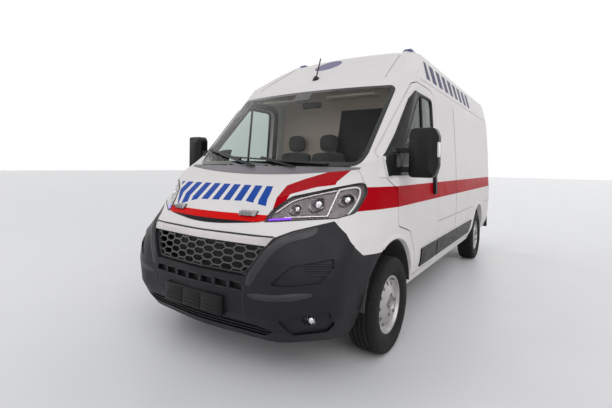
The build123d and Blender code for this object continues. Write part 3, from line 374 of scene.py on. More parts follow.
BLUE = (0.015, 0.07, 0.36)
BAR_SHARE = 0.64
BONNET_PITCH = 0.104
BONNET_BARS = [(-0.400, 0.190), (0.430, 0.230), (0.325, 0.425), (-0.640, 0.430)]
foil(bonnet_paint, every(bonnet_paint, [
    bar_row(bonnet_paint, (1, 0.45, 0), BONNET_PITCH, BAR_SHARE),
    inside_polygon(bonnet_paint, plain_point, BONNET_BARS),
]), BLUE)
print("bonnet bars every", BONNET_PITCH)

# %% [markdown]
# The roof's bars run along both sides of the high cap. A plain disc marks its front: it shows where
# the distance from its centre is less than its radius.

# %% Roof paint
ROOF_BLUE = (0.055, 0.045, 0.12)
DISC_COLOR = (0.20, 0.18, 0.30)
ROOF_PITCH = 0.245
ROOF_BAR_LEVELS = (2.150, 2.320)
ROOF_BAR_BACK = (1.93, 4.05)
DISC_PLACE = (-0.085, y_at(1.855), 2.385)
DISC_RADIUS = 0.150
roof_paint = white_paint("white_paint_roof")
roof_point = folded_metres(roof_paint)
foil(roof_paint, every(roof_paint, [
    bar_row(roof_paint, (0, 1, 0.3), ROOF_PITCH, BAR_SHARE),
    slab(roof_paint, roof_point, (0, 0, 1), *ROOF_BAR_LEVELS),
    slab(roof_paint, roof_point, (0, 1, 0), *[y_at(back) for back in ROOF_BAR_BACK]),
    beyond(roof_paint, roof_point, (1, 0, 0), 0.86),
]), ROOF_BLUE)
disc_offset = add(roof_paint, "VectorMath", operation="DISTANCE")
connect(roof_paint, metres(roof_paint), disc_offset.inputs[0])
disc_offset.inputs[1].default_value = DISC_PLACE
foil(roof_paint, operate(roof_paint, "LESS_THAN", disc_offset.outputs["Value"], DISC_RADIUS), DISC_COLOR)
print("paints:", len(bpy.data.materials))

# %% [markdown]
# ## Plastics, glass and metal
#
# The bumper is grained dark grey plastic, the grille is glossier, and the rubber is the dullest.
# Window glass is one thin solid pane, so a low IOR keeps it from bending the view too much.

# %% Plastics and rubber
bumper_plastic = bumpy(uneven(
    shader("bumper_plastic", (0.013, 0.012, 0.015), 0.5, Specular_IOR_Level=0.22), 9.0, 0.42, 0.56,
), 500, 0.0001)
# A lighter copy of the bumper plastic paints the highlights on its ribs, folds, joints and slot frames.
bumper_highlight_plastic = bumpy(uneven(
    shader("bumper_highlight_plastic", (0.028, 0.026, 0.031), 0.45, Specular_IOR_Level=0.4), 9.0, 0.38, 0.50,
), 500, 0.0001)
black_plastic = bumpy(uneven(
    shader("black_plastic", (0.007, 0.007, 0.008), 0.45, Specular_IOR_Level=0.22), 12.0, 0.36, 0.52,
), 500, 0.0001)
gloss_black = uneven(
    shader("gloss_black", (0.006, 0.006, 0.007), 0.25, Specular_IOR_Level=0.35), 20.0, 0.2, 0.3,
)
grille_black = uneven(
    shader("grille_black", (0.035, 0.032, 0.036), 0.3, Specular_IOR_Level=0.6), 20.0, 0.24, 0.36,
)
cowl_plastic = uneven(shader("cowl_plastic", (0.16, 0.15, 0.165), 0.5), 15.0, 0.40, 0.55)
seal_rubber = uneven(shader("seal_rubber", (0.008, 0.008, 0.009), 0.6), 40.0, 0.5, 0.7)
tyre_rubber = bumpy(mottled(
    shader("tyre_rubber", (0.012, 0.012, 0.012), 0.78, Specular_IOR_Level=0.2),
    30.0, (0.009, 0.009, 0.009), (0.018, 0.017, 0.017),
), 300, 0.0002)
beige_trim = uneven(shader("beige_trim", (0.78, 0.66, 0.60), 0.7), 5.0, 0.6, 0.8)
# Painted shade for the creases beside the roof's front ribs.
crease_shade = uneven(shader("crease_shade", (0.42, 0.37, 0.36), 0.5), 5.0, 0.4, 0.6)
headlining = uneven(shader("headlining", (0.62, 0.58, 0.52), 0.8), 5.0, 0.7, 0.9)
dark_panel = uneven(shader("dark_panel", (0.030, 0.028, 0.034), 0.6), 5.0, 0.5, 0.7)
dash_grain = bumpy(uneven(shader("dash_grain", (0.040, 0.040, 0.042), 0.6), 20.0, 0.5, 0.7), 400, 0.0001)
door_trim = bumpy(uneven(shader("door_trim", (0.10, 0.095, 0.10), 0.6), 20.0, 0.5, 0.7), 400, 0.0001)
floor_vinyl = mottled(
    shader("floor_vinyl", (0.16, 0.16, 0.17), 0.6), 60.0, (0.13, 0.13, 0.14), (0.22, 0.22, 0.23),
)
cabinet_white = uneven(shader("cabinet_white", (0.72, 0.72, 0.71), 0.35), 8.0, 0.3, 0.45)
inner_white = uneven(shader("inner_white", (0.66, 0.66, 0.65), 0.5), 8.0, 0.4, 0.6)
print("finishes after the plastics:", len(bpy.data.materials))

# %% [markdown]
# Bare metal is shiny and fully metallic. Lacquered parts, such as the rims and the grille bar, are
# only partly so, which keeps them light where they would otherwise mirror a dark floor.

# %% Metals
bright_trim = uneven(shader("bright_trim", (0.52, 0.48, 0.49), 0.3, 0.3), 14.0, 0.22, 0.36)
satin_silver = uneven(shader("satin_silver", (0.30, 0.29, 0.30), 0.35, 0.4), 8.0, 0.28, 0.42)
chrome = uneven(shader("chrome", (0.80, 0.79, 0.81), 0.08, 1.0), 30.0, 0.05, 0.14)
lamp_chrome = uneven(shader("lamp_chrome", (0.62, 0.56, 0.58), 0.25, 0.7), 30.0, 0.18, 0.32)
lamp_dark = uneven(shader("lamp_dark", (0.15, 0.128, 0.130), 0.4, 0.4), 8.0, 0.34, 0.46)
wheel_silver = mottled(
    uneven(shader("wheel_silver", (0.42, 0.40, 0.40), 0.35, 0.55), 25.0, 0.30, 0.45),
    18.0, (0.38, 0.36, 0.36), (0.46, 0.44, 0.44),
)
bolt_steel = uneven(shader("bolt_steel", (0.34, 0.33, 0.34), 0.35, 0.9), 50.0, 0.3, 0.5)
chassis_black = mottled(
    shader("chassis_black", (0.03, 0.03, 0.03), 0.6), 14.0, (0.022, 0.022, 0.022), (0.05, 0.047, 0.044),
)
cast_alloy = bumpy(mottled(
    shader("cast_alloy", (0.30, 0.30, 0.31), 0.5, 0.8), 20.0, (0.22, 0.22, 0.23), (0.36, 0.36, 0.37),
), 120, 0.0004)
hot_steel = mottled(uneven(
    shader("hot_steel", (0.30, 0.28, 0.26), 0.45, 0.9), 12.0, 0.35, 0.6,
), 9.0, (0.22, 0.20, 0.18), (0.36, 0.34, 0.32))
print("finishes after the metals:", len(bpy.data.materials))

# %% [markdown]
# Glass is a shader with full transmission. The windows behind are tinted dark, the lamps' lenses are
# clear or coloured, and the day light strip glows violet a little by itself: the strip is real, but its
# violet glow is a painted reflection.

# %% Glass and lenses
screen_glass = uneven(
    shader("screen_glass", (0.94, 0.95, 0.92), 0.0, Transmission_Weight=1.0, IOR=1.10), 3.0, 0.0, 0.01,
)
side_glass = uneven(
    shader("side_glass", (0.40, 0.47, 0.46), 0.0, Transmission_Weight=1.0, IOR=1.12), 3.0, 0.0, 0.01,
)
privacy_glass = uneven(
    shader("privacy_glass", (0.10, 0.12, 0.12), 0.0, Transmission_Weight=0.9, IOR=1.25), 3.0, 0.0, 0.02,
)
lens_clear = uneven(
    shader("lens_clear", (0.94, 0.94, 0.95), 0.0, Transmission_Weight=1.0, IOR=1.12), 5.0, 0.0, 0.01,
)
lens_red = uneven(
    shader("lens_red", (0.42, 0.008, 0.010), 0.12, Transmission_Weight=0.2, Coat_Weight=0.8),
    20.0, 0.08, 0.16,
)
lens_blue = uneven(
    shader("lens_blue", (0.03, 0.05, 0.24), 0.10, Transmission_Weight=0.3, Coat_Weight=0.5), 20.0, 0.06, 0.14,
)
lens_amber = uneven(shader("lens_amber", (0.72, 0.25, 0.02), 0.12, Coat_Weight=0.8), 20.0, 0.08, 0.16)
lens_white = uneven(shader("lens_white", (0.72, 0.71, 0.72), 0.15, Coat_Weight=0.8), 20.0, 0.1, 0.2)
# The day light strip is real; its violet colour and glow paint a reflection.
day_light_painted_reflection = uneven(shader("day_light_painted_reflection", (0.20, 0.06, 0.60), 0.3, Emission_Strength=0.8), 40.0, 0.25, 0.35)
principled(day_light_painted_reflection).inputs["Emission Color"].default_value = (0.25, 0.03, 1.0, 1)
mirror_glass = uneven(shader("mirror_glass", (0.75, 0.77, 0.80), 0.03, 1.0), 10.0, 0.02, 0.05)
print("finishes:", len(bpy.data.materials))

# %% [markdown]
# The seat cloth is dark and woven. Two crossed waves, multiplied, give the rows of threads, and the
# bump lifts them by half a millimetre.

# %% Seat cloth
seat_cloth = shader("seat_cloth", (0.05, 0.05, 0.055), 0.9, Sheen_Weight=0.3)
thread_waves = []
for direction in ("X", "Z"):
    wave = add(seat_cloth, "TexWave", bands_direction=direction)
    wave.inputs["Scale"].default_value = 60.0
    connect(seat_cloth, metres(seat_cloth), wave.inputs["Vector"])
    thread_waves.append(wave.outputs["Fac"])
weave = add(seat_cloth, "Bump")
weave.inputs["Distance"].default_value = 0.0005
connect(seat_cloth, operate(seat_cloth, "MULTIPLY", *thread_waves), weave.inputs["Height"])
connect(seat_cloth, weave.outputs["Normal"], principled(seat_cloth).inputs["Normal"])
mottled(seat_cloth, 40.0, (0.04, 0.04, 0.045), (0.07, 0.07, 0.075))
print("thread waves:", len(thread_waves))

# %% [markdown]
# The windscreen has a black printed border that hides the glue. The glass and the print are one
# pane, so the border is a mask that switches the shader from glass to black, not a second piece.

# %% Windscreen border
SCREEN_CLEAR_HALF = 0.806
SCREEN_CLEAR_LEVELS = (1.352, 1.984)
PATCH_HALF = 0.085
PATCH_LEVEL = 1.915
BORDER_BLACK = (0.012, 0.012, 0.013)


def printed_border(finish):
    """Black near the pane's edges and behind the inner mirror's foot."""
    place = folded_metres(finish)
    clear = every(finish, [
        slab(finish, place, (0, 0, 1), *SCREEN_CLEAR_LEVELS),
        beyond(finish, place, (-1, 0, 0), -SCREEN_CLEAR_HALF),
        beyond(finish, place, (-1, 0, 0.75), SCREEN_CLEAR_LEVELS[0] * 0.75 - 0.775),
    ])
    patch = every(finish, [
        slab(finish, place, (1, 0, 0), -1.0, PATCH_HALF),
        beyond(finish, place, (0, 0, 1), PATCH_LEVEL),
    ])
    shown = every(finish, [clear, operate(finish, "SUBTRACT", 1, patch)])
    black = add(finish, "BsdfPrincipled")
    black.inputs["Base Color"].default_value = (*BORDER_BLACK, 1)
    black.inputs["Roughness"].default_value = 0.12
    mix = add(finish, "MixShader")
    connect(finish, shown, mix.inputs[0])
    connect(finish, black.outputs[0], mix.inputs[1])
    connect(finish, principled(finish).outputs[0], mix.inputs[2])
    connect(finish, mix.outputs[0], finish.node_tree.nodes["Material Output"].inputs["Surface"])


printed_border(screen_glass)
print("clear glass up to x", SCREEN_CLEAR_HALF, "and between levels", SCREEN_CLEAR_LEVELS)

# %% [markdown]
# ## Dressing the solids
#
# The solids arrive as loose flat triangles. A copy with its doubled corners merged can be shaded
# smooth: an edge is kept sharp only where its two faces meet at more than a limit angle. The copy
# rides on the same body and stands in for the solid. Where one solid shows two finishes, such as a
# painted door with its inner lining, a test on each face's place and direction picks the second.

# %% Helpers for pieces


def soften(bm, limit_degrees):
    """Smooth shading, with sharp edges where faces meet steeply."""
    for face in bm.faces:
        face.smooth = True
    for edge in bm.edges:
        steep = len(edge.link_faces) != 2 or edge.calc_face_angle(0) > math.radians(limit_degrees)
        edge.smooth = not steep


def finish_piece(name, bm, material, body, limit_degrees=35):
    """Turn a bmesh into a piece with a finish, riding on a body."""
    soften(bm, limit_degrees)
    mesh = bpy.data.meshes.new(name)
    bm.to_mesh(mesh)
    bm.free()
    mesh.materials.append(material)
    piece = bpy.data.objects.new(name, mesh)
    bpy.context.scene.collection.objects.link(piece)
    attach(piece, body)
    return piece


def merged(node):
    """The node's triangles with doubled corners merged."""
    bm = bmesh.new()
    bm.from_mesh(NODES[node].data)
    bmesh.ops.remove_doubles(bm, verts=bm.verts, dist=0.00002)
    return bm


def dress(node, material, second=None, where=None, limit_degrees=30):
    """Smooth copy of a solid in its finish, with a second finish where a test says so."""
    bm = merged(node)
    if where:
        for face in bm.faces:
            face.material_index = 1 if where(face.calc_center_median(), face.normal) else 0
    piece = finish_piece(node + "_skin", bm, material, BODY_OF[node], limit_degrees)
    if second:
        piece.data.materials.append(second)
    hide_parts(node)
    return piece


# %% [markdown]
# Small fittings are boxes, short cylinders and balls. Each helper adds one to a bmesh that may hold
# several, because a row of like fittings on one body is one piece.

# %% Small solids


def box_into(bm, low, high, bevel=0.0, segments=2):
    """Add a box between two corners to a bmesh, with its edges rounded."""
    made = bmesh.ops.create_cube(bm, size=1.0)["verts"]
    bmesh.ops.scale(bm, vec=[b - a for a, b in zip(low, high)], verts=made)
    bmesh.ops.translate(bm, vec=[(a + b) / 2 for a, b in zip(low, high)], verts=made)
    if bevel:
        edges = list({edge for vert in made for edge in vert.link_edges})
        bmesh.ops.bevel(
            bm, geom=edges, offset=bevel, segments=segments, profile=0.5, affect="EDGES", material=-1,
        )


def disc_into(bm, place, radius, depth, axis, segments=24):
    """Add a short cylinder to a bmesh, centred at a place, along an axis."""
    matrix = Matrix.Translation(place) @ Vector(axis).to_track_quat("Z", "Y").to_matrix().to_4x4()
    bmesh.ops.create_cone(
        bm, cap_ends=True, segments=segments, radius1=radius, radius2=radius, depth=depth, matrix=matrix,
    )


def ball_into(bm, place, radius, flat=1.0):
    """Add a ball to a bmesh, flattened along Y."""
    matrix = Matrix.Translation(place) @ Matrix.Diagonal((1, flat, 1, 1))
    bmesh.ops.create_uvsphere(bm, u_segments=24, v_segments=12, radius=radius, matrix=matrix)


def box_piece(name, low, high, bevel, material, body):
    """One rounded box as a piece."""
    bm = bmesh.new()
    box_into(bm, low, high, bevel)
    return finish_piece(name, bm, material, body)


# %% [markdown]
# Most solids have one finish all over, so a table from finish to solids dresses them in one loop.

# %% Solids in one finish
PLAIN = {
    side_paint: ["front_wings", "nose_panel"],
    bonnet_paint: ["bonnet"],
    bumper_plastic: ["front_bumper", "rear_bumper"],
    black_plastic: ["door_left_mirror", "door_right_mirror", "door_left_trim", "door_right_trim",
                    "body_rub_strips", "wipers", "radio_antenna"],
    cowl_plastic: ["cowl_panel"],
    grille_black: ["grille_mesh"],
    bright_trim: ["grille_bar"],
    lens_clear: ["headlamp_lenses"],
    screen_glass: ["windscreen"],
    side_glass: ["door_left_glass", "door_right_glass"],
    privacy_glass: ["sliding_door_glass", "rear_door_left_glass", "rear_door_right_glass"],
    lens_red: ["tail_lamps"],
    lens_blue: ["roof_beacons"],
    dash_grain: ["dashboard", "steering_wheel"],
    wheel_silver: ["rim_front_left", "rim_front_right", "rim_rear_left", "rim_rear_right"],
    chassis_black: ["front_suspension", "rear_axle", "knuckle_left", "knuckle_right",
                    "wheel_arch_liners", "fuel_tank", "dash_wall", "radiator"],
    hot_steel: ["exhaust"],
    cast_alloy: ["engine_block"],
    cabinet_white: ["patient_cabinet"],
    beige_trim: ["bulkhead"],
}
for material, names in PLAIN.items():
    for name in names:
        dress(name, material)
print("solids in one finish:", sum(len(names) for names in PLAIN.values()))

# %% [markdown]
# From inside, the doors have dark linings and the roof has a pale one. The normal of a face tells
# inside from outside: on the left side a lining's faces look to the right.

# %% Solids in two finishes
FLANK_X = 0.80
FLOOR_LEVEL = 0.478


def looks(axis, sign, least):
    """A test for faces that look one way along an axis."""
    def test(place, normal):
        return normal[axis] * sign > least
    return test


def on_flank(side):
    """A test for faces of a flank that look into the van."""
    def test(place, normal):
        return normal.x * side < -0.5 and abs(place.x) > FLANK_X
    return test


def under_floor(place, normal):
    """True below the floor's covering."""
    return place.z < FLOOR_LEVEL or normal.z < -0.5


def flasher_body(place, normal):
    """True on the ends and the underside of a flasher."""
    return abs(normal.x) > 0.5 or normal.z < -0.5


for name, side in SIDES:
    dress("door_" + name, side_paint, door_trim, on_flank(side))
    dress("body_side_" + name, side_paint, inner_white, on_flank(side))
    dress("rear_door_" + name, side_paint, inner_white, looks(1, -1, 0.7))
dress("sliding_door", side_paint, inner_white, looks(0, 1, 0.5))
dress("roof", roof_paint, headlining, looks(2, -1, 0.3))
dress("floor_pan", floor_vinyl, chassis_black, under_floor)
dress("seat_bases", dash_grain)
dress("bonnet_flashers", satin_silver, black_plastic, flasher_body)

# %% [markdown]
# ## Tyres
#
# A tyre is a section turned about the axle, which is what spin does. The section runs over the bead,
# the bulging sidewall and the tread with its grooves. Cross grooves come after: every fifth ring of
# tread faces is pushed in, which leaves the blocks between them standing.

# %% Tyres
TYRE_HALF = [
    (0.000, 0.3380), (0.010, 0.3380), (0.012, 0.3300), (0.020, 0.3300), (0.022, 0.3378), (0.046, 0.3374),
    (0.048, 0.3295), (0.056, 0.3295), (0.058, 0.3370), (0.078, 0.3355), (0.092, 0.3290), (0.100, 0.3180),
    (0.1035, 0.3080), (0.1025, 0.3060), (0.1045, 0.2850), (0.1050, 0.2620), (0.1010, 0.2450),
    (0.1020, 0.2430), (0.0940, 0.2200), (0.0840, 0.2060), (0.0780, 0.2035),
]
TYRE_STEPS = 240
BLOCK_STEPS = 5
CROSS_GROOVE = 0.006
WHEELS = [(end, side, end + "_" + name) for end in ("front", "rear") for name, side in SIDES]


def spin_section(bm, section, steps):
    """Turn a closed (x, radius) section about the X axis."""
    verts = [bm.verts.new((x, 0, radius)) for x, radius in section]
    edges = [bm.edges.new(pair) for pair in zip(verts, verts[1:] + verts[:1])]
    bmesh.ops.spin(
        bm, geom=verts + edges, cent=(0, 0, 0), axis=(1, 0, 0), dvec=(0, 0, 0),
        angle=2 * math.pi, steps=steps, use_merge=True, use_duplicate=False,
    )
    bmesh.ops.recalc_face_normals(bm, faces=bm.faces)


def make_tyre(end, side, name):
    """One tyre with its tread."""
    bm = bmesh.new()
    spin_section(bm, TYRE_HALF + [(-x, radius) for x, radius in reversed(TYRE_HALF[1:])], TYRE_STEPS)
    step = 2 * math.pi / TYRE_STEPS
    chosen = []
    for face in bm.faces:
        middle = face.calc_center_median()
        index = int(math.atan2(middle.z, middle.y) / step + 1000 * TYRE_STEPS)
        shift = 2 if middle.x > 0 else 0
        on_rib = math.hypot(middle.y, middle.z) > 0.3315 and 0.024 < abs(middle.x) < 0.088
        if on_rib and (index + shift) % BLOCK_STEPS == 0:
            chosen.append(face)
    pushed = bmesh.ops.extrude_face_region(bm, geom=chosen)["geom"]
    for vert in (item for item in pushed if isinstance(item, bmesh.types.BMVert)):
        share = 1 - CROSS_GROOVE / math.hypot(vert.co.y, vert.co.z)
        vert.co.y *= share
        vert.co.z *= share
    bmesh.ops.translate(bm, vec=(side * TRACKS[end] / 2, y_at(AXLES[end]), TYRE_RADIUS), verts=bm.verts)
    piece = finish_piece("tyre_tread_" + name, bm, tyre_rubber, "wheel_" + name, 28)
    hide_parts("tyre_" + name)


for end, side, name in WHEELS:
    make_tyre(end, side, name)
print("tyres with tread:", len(WHEELS))

# %% [markdown]
# The pressed steel rim is already a good solid. What it lacks are its five bolts, the dust cap in
# the middle and the valve, which are small turned and six-sided shapes.

# %% Wheel bolts, caps and valves
BOLT_COUNT = 5
BOLT_CIRCLE = 0.070
for end, side, name in WHEELS:
    bm = bmesh.new()
    middle = Vector((side * TRACKS[end] / 2, y_at(AXLES[end]), TYRE_RADIUS))
    for index in range(BOLT_COUNT):
        angle = 2 * math.pi * index / BOLT_COUNT + math.pi / 2
        place = middle + Vector((side * 0.096, BOLT_CIRCLE * math.cos(angle), BOLT_CIRCLE * math.sin(angle)))
        disc_into(bm, place, 0.0105, 0.016, (1, 0, 0), segments=6)
        disc_into(bm, place - Vector((side * 0.004, 0, 0)), 0.0135, 0.004, (1, 0, 0), segments=16)
    disc_into(bm, middle + Vector((side * 0.076, 0, 0)), 0.0285, 0.020, (1, 0, 0), segments=32)
    disc_into(bm, middle + Vector((side * 0.086, 0, 0)), 0.020, 0.010, (1, 0, 0), segments=32)
    finish_piece("bolts_" + name, bm, bolt_steel, "wheel_" + name)
    bm = bmesh.new()
    disc_into(bm, middle + Vector((side * 0.072, 0.060, 0.165)), 0.004, 0.030, (1, 0, 0), segments=12)
    finish_piece("valve_" + name, bm, seal_rubber, "wheel_" + name)
print("wheels with", BOLT_COUNT, "bolts each")

# %% [markdown]
# ## Lines and raised strips that follow the panels
#
# Seams, seals and ridges lie on curved panels. A ray shot at the solid finds the surface under each
# point of the line. A bead is a round section drawn through what the rays found. A raised strip has
# a flat section instead: one closed ring of points at each station, bridged to the next ring.

# %% Surface finder
VIEWS = {
    "front": (lambda u, v: Vector((u, y_at(-0.5), v)), Vector((0, 1, 0))),
    "rear": (lambda u, v: Vector((u, y_at(6.2), v)), Vector((0, -1, 0))),
    "left": (lambda u, v: Vector((1.6, y_at(u), v)), Vector((-1, 0, 0))),
    "right": (lambda u, v: Vector((-1.6, y_at(u), v)), Vector((1, 0, 0))),
    "top": (lambda u, v: Vector((u, y_at(v), 3.2)), Vector((0, 0, -1))),
}


def tree_of(*nodes):
    """Ray-casting tree of several solids."""
    bm = bmesh.new()
    for node in nodes:
        bm.from_mesh(NODES[node].data)
    tree = BVHTree.FromBMesh(bm)
    bm.free()
    return tree


def find(tree, view, u, v, lift=0.0):
    """Place on the surface behind a point of a view, lifted off it."""
    start, direction = VIEWS[view]
    place, normal, _, _ = tree.ray_cast(start(u, v), direction, 7.0)
    if place is None:
        return None
    if normal.dot(direction) > 0:
        normal = -normal
    return place + normal * lift


def on_side(points, side):
    """A line drawn for the left side, mirrored for the right one, seen from front, rear or top."""
    return [(side * u, v) for u, v in points]


def find_over(tree, view, u, v, lift, reach=0.02):
    """Place in front of the outermost surface close by, so that a plate clears small ledges."""
    start, direction = VIEWS[view]
    depths = []
    for step_u, step_v in ((0, 0), (0, reach), (0, -reach), (reach, 0), (-reach, 0)):
        found = find(tree, view, u + step_u, v + step_v)
        if found:
            depths.append((found - start(u, v)).dot(direction))
    return start(u, v) + direction * (min(depths) - lift)


def find_line(tree, view, points, lift=0.0):
    """Places on the surface behind a line of a view."""
    found = [find(tree, view, u, v, lift) for u, v in points]
    return [place for place in found if place is not None]


# %% [markdown]
# A line is given by a few corners. More points along its straight runs let it follow the panel, and
# averaging each with its neighbours a few times rounds the corners.

# %% Lines


def dense(points, step=0.03, closed=False):
    """More points along straight runs."""
    ends = points[1:] + points[:1] if closed else points[1:]
    result = []
    for start, end in zip(points, ends):
        count = max(1, int(math.dist(start, end) / step))
        for index in range(count):
            share = index / count
            result.append(tuple(a + (b - a) * share for a, b in zip(start, end)))
    return result if closed else result + [points[-1]]


def rounded(points, rounds, closed=False):
    """Soften the corners of a dense line."""
    for _ in range(rounds):
        shifted = []
        for index, point in enumerate(points):
            at_end = not closed and index in (0, len(points) - 1)
            before = points[index - 1]
            after = points[(index + 1) % len(points)]
            shifted.append(point if at_end else tuple(
                (a + 2 * b + c) / 4 for a, b, c in zip(before, point, after)
            ))
        points = shifted
    return points


# %% [markdown]
# A seam, seal or thin rod is a bead: a curve with a round section, turned into a mesh at once.

# %% Beads


def bead(name, places, radius, material, body, closed=False):
    """A thin round line through places on the van."""
    if len(places) < 2:
        return print("no places for", name)
    places = rounded([tuple(place) for place in places], 2, closed)
    curve = bpy.data.curves.new(name, "CURVE")
    curve.dimensions = "3D"
    curve.bevel_depth = radius
    curve.bevel_resolution = 2
    curve.use_fill_caps = True
    spline = curve.splines.new("POLY")
    spline.points.add(len(places) - 1)
    for spot, place in zip(spline.points, places):
        spot.co = (*place, 1)
    spline.use_cyclic_u = closed
    holder = bpy.data.objects.new(name + "_line", curve)
    mesh = bpy.data.meshes.new_from_object(holder)
    bpy.data.objects.remove(holder)
    bm = bmesh.new()
    bm.from_mesh(mesh)
    return finish_piece(name, bm, material, body, 60)


# %% [markdown]
# A raised strip keeps its own section along a line. Its ends sink into the panel over a few
# stations, so that no cut end stands up.

# %% Raised strips
TAPER_STATIONS = 4


def strip(name, tree, view, line, profile, material, body, side=1):
    """A raised strip along a line of a view; its profile lists (across, lift), and its ends taper."""
    rings = []
    for index, (u, v) in enumerate(line):
        before = line[max(index - 1, 0)]
        after = line[min(index + 1, len(line) - 1)]
        run = Vector((after[0] - before[0], after[1] - before[1])).normalized()
        across = Vector((-run.y, run.x)) * side
        rise = min(1.0, min(index, len(line) - 1 - index) / TAPER_STATIONS)
        ring = []
        for far, lift in profile:
            lift = lift if lift < 0 else lift * rise - 0.001 * (1 - rise)
            ring.append(find(tree, view, u + across.x * far, v + across.y * far, lift))
        if None not in ring:
            rings.append(ring)
    if len(rings) < 2:
        return print("no places for", name)
    smooth = [rings[0]]
    for before, ring, after in zip(rings, rings[1:], rings[2:]):
        smooth.append([(a + 2 * b + c) / 4 for a, b, c in zip(before, ring, after)])
    bm = bmesh.new()
    loops = []
    for ring in smooth + [rings[-1]]:
        verts = [bm.verts.new(place) for place in ring]
        loops.append([bm.edges.new(pair) for pair in zip(verts, verts[1:] + verts[:1])])
    for first, second in zip(loops, loops[1:]):
        bmesh.ops.bridge_loops(bm, edges=first + second)
    bmesh.ops.holes_fill(bm, edges=loops[0] + loops[-1], sides=0)
    bmesh.ops.recalc_face_normals(bm, faces=bm.faces)
    return finish_piece(name, bm, material, body, 40)


# %% [markdown]
# A thin cover is a sheet between two lines. Rings of points across it are bridged one to the next,
# like the strips, and its outer side clears small ledges of the panel.

# %% Sheets


def split_runs(points, parts=5):
    """Each run of a line, split into as many parts."""
    result = []
    for start, end in zip(points, points[1:]):
        shares = [index / parts for index in range(parts)]
        result += [tuple(a + (b - a) * share for a, b in zip(start, end)) for share in shares]
    return result + [points[-1]]


def sheet(name, tree, view, first, second, lift, material, body, count=6):
    """A thin plate on the surface, between two lines with as many points."""
    bm = bmesh.new()
    loops = []
    for (u_a, v_a), (u_b, v_b) in zip(split_runs(first), split_runs(second)):
        shares = [index / count for index in range(count + 1)]
        spots = [(u_a + (u_b - u_a) * share, v_a + (v_b - v_a) * share) for share in shares]
        outer = [find_over(tree, view, u, v, lift) for u, v in spots]
        inner = [find(tree, view, u, v, -0.002) for u, v in reversed(spots)]
        verts = [bm.verts.new(place) for place in outer + inner]
        loops.append([bm.edges.new(pair) for pair in zip(verts, verts[1:] + verts[:1])])
    for before, after in zip(loops, loops[1:]):
        bmesh.ops.bridge_loops(bm, edges=before + after)
    bmesh.ops.holes_fill(bm, edges=loops[0] + loops[-1], sides=0)
    bmesh.ops.recalc_face_normals(bm, faces=bm.faces)
    return finish_piece(name, bm, material, body, 40)


# %% [markdown]
# ## Front bumper
#
# A rounded rib runs from the grille's lower corner up towards the headlamp, and a soft fold crosses
# the bumper's cheek. The middle panel has a joint on each side. Its row of square openings has thin
# frames, and below them sits a plate carrier in three panels. The ribs, folds, joints and frames are
# in a lighter copy of the bumper plastic, which paints the highlights they catch.

# %% Bumper ribs and joints
bumper = tree_of("front_bumper")
RIB_LINE = [(0.424, 0.600), (0.438, 0.660), (0.545, 0.832), (0.580, 0.880), (0.655, 0.920), (0.760, 0.952)]
RIB_PROFILE = [(0.004, -0.003), (-0.001, 0.009), (-0.012, 0.016), (-0.028, 0.013), (-0.056, -0.003)]
FOLD_LINE = [(0.430, 0.548), (0.540, 0.552), (0.640, 0.560), (0.740, 0.572), (0.840, 0.590)]
FOLD_PROFILE = [(0.024, -0.002), (0.006, 0.006), (-0.006, 0.006), (-0.030, -0.002)]
JOINT_LINE = [(0.414, 0.640), (0.414, 0.372)]
for name, side in SIDES:
    rib_line = on_side(rounded(dense(RIB_LINE, 0.02), 3), side)
    strip("bumper_rib_" + name, bumper, "front", rib_line, RIB_PROFILE, bumper_highlight_plastic, "root", side)
    fold_line = on_side(dense(FOLD_LINE, 0.03), side)
    strip("bumper_fold_" + name, bumper, "front", fold_line, FOLD_PROFILE, bumper_highlight_plastic, "root", side)
    joint_line = on_side(dense(JOINT_LINE), side)
    bead("bumper_joint_" + name, find_line(bumper, "front", joint_line), 0.0028, bumper_highlight_plastic, "root")
print("bumper ribs, folds and joints made")

# %% [markdown]
# Each square opening gets a frame of four thin boxes and a dark back. The frames stand as far forward
# as the bumper does at that place, which a ray measures.

# %% Slot frames
SLOT_COUNT = 7
SLOT_PITCH = 0.118
SLOT_HALF = (0.052, 0.023)
SLOT_LEVEL = 0.588
FRAME_HALF = 0.0022
SLOT_MIDDLES = [(index - (SLOT_COUNT - 1) / 2) * SLOT_PITCH for index in range(SLOT_COUNT)]
bm = bmesh.new()
for middle in SLOT_MIDDLES:
    for part_x, part_z in ((-1, 0), (1, 0), (0, -1), (0, 1)):
        x = middle + part_x * SLOT_HALF[0]
        z = SLOT_LEVEL + part_z * SLOT_HALF[1]
        found = find(bumper, "front", x + 0.004 * part_x, z + 0.004 * part_z)
        wide = FRAME_HALF if part_x else SLOT_HALF[0] + FRAME_HALF
        tall = FRAME_HALF if part_z else SLOT_HALF[1] + FRAME_HALF
        box_into(bm, (x - wide, found.y - 0.0012, z - tall), (x + wide, found.y + 0.012, z + tall), 0.0008)
# The frames' lighter plastic paints a highlight round each opening.
finish_piece("slot_frames", bm, bumper_highlight_plastic, "root")
bm = bmesh.new()
for middle in SLOT_MIDDLES:
    found = find(bumper, "front", middle, SLOT_LEVEL + SLOT_HALF[1] + 0.006)
    low = (middle - SLOT_HALF[0], found.y + 0.034, SLOT_LEVEL - SLOT_HALF[1])
    box_into(bm, low, (middle + SLOT_HALF[0], found.y + 0.038, SLOT_LEVEL + SLOT_HALF[1]))
finish_piece("slot_backs", bm, seal_rubber, "root")
print("slots:", SLOT_COUNT)

# %% [markdown]
# The plate carrier is one flat box with three raised panels, and four low ribs run across each panel.

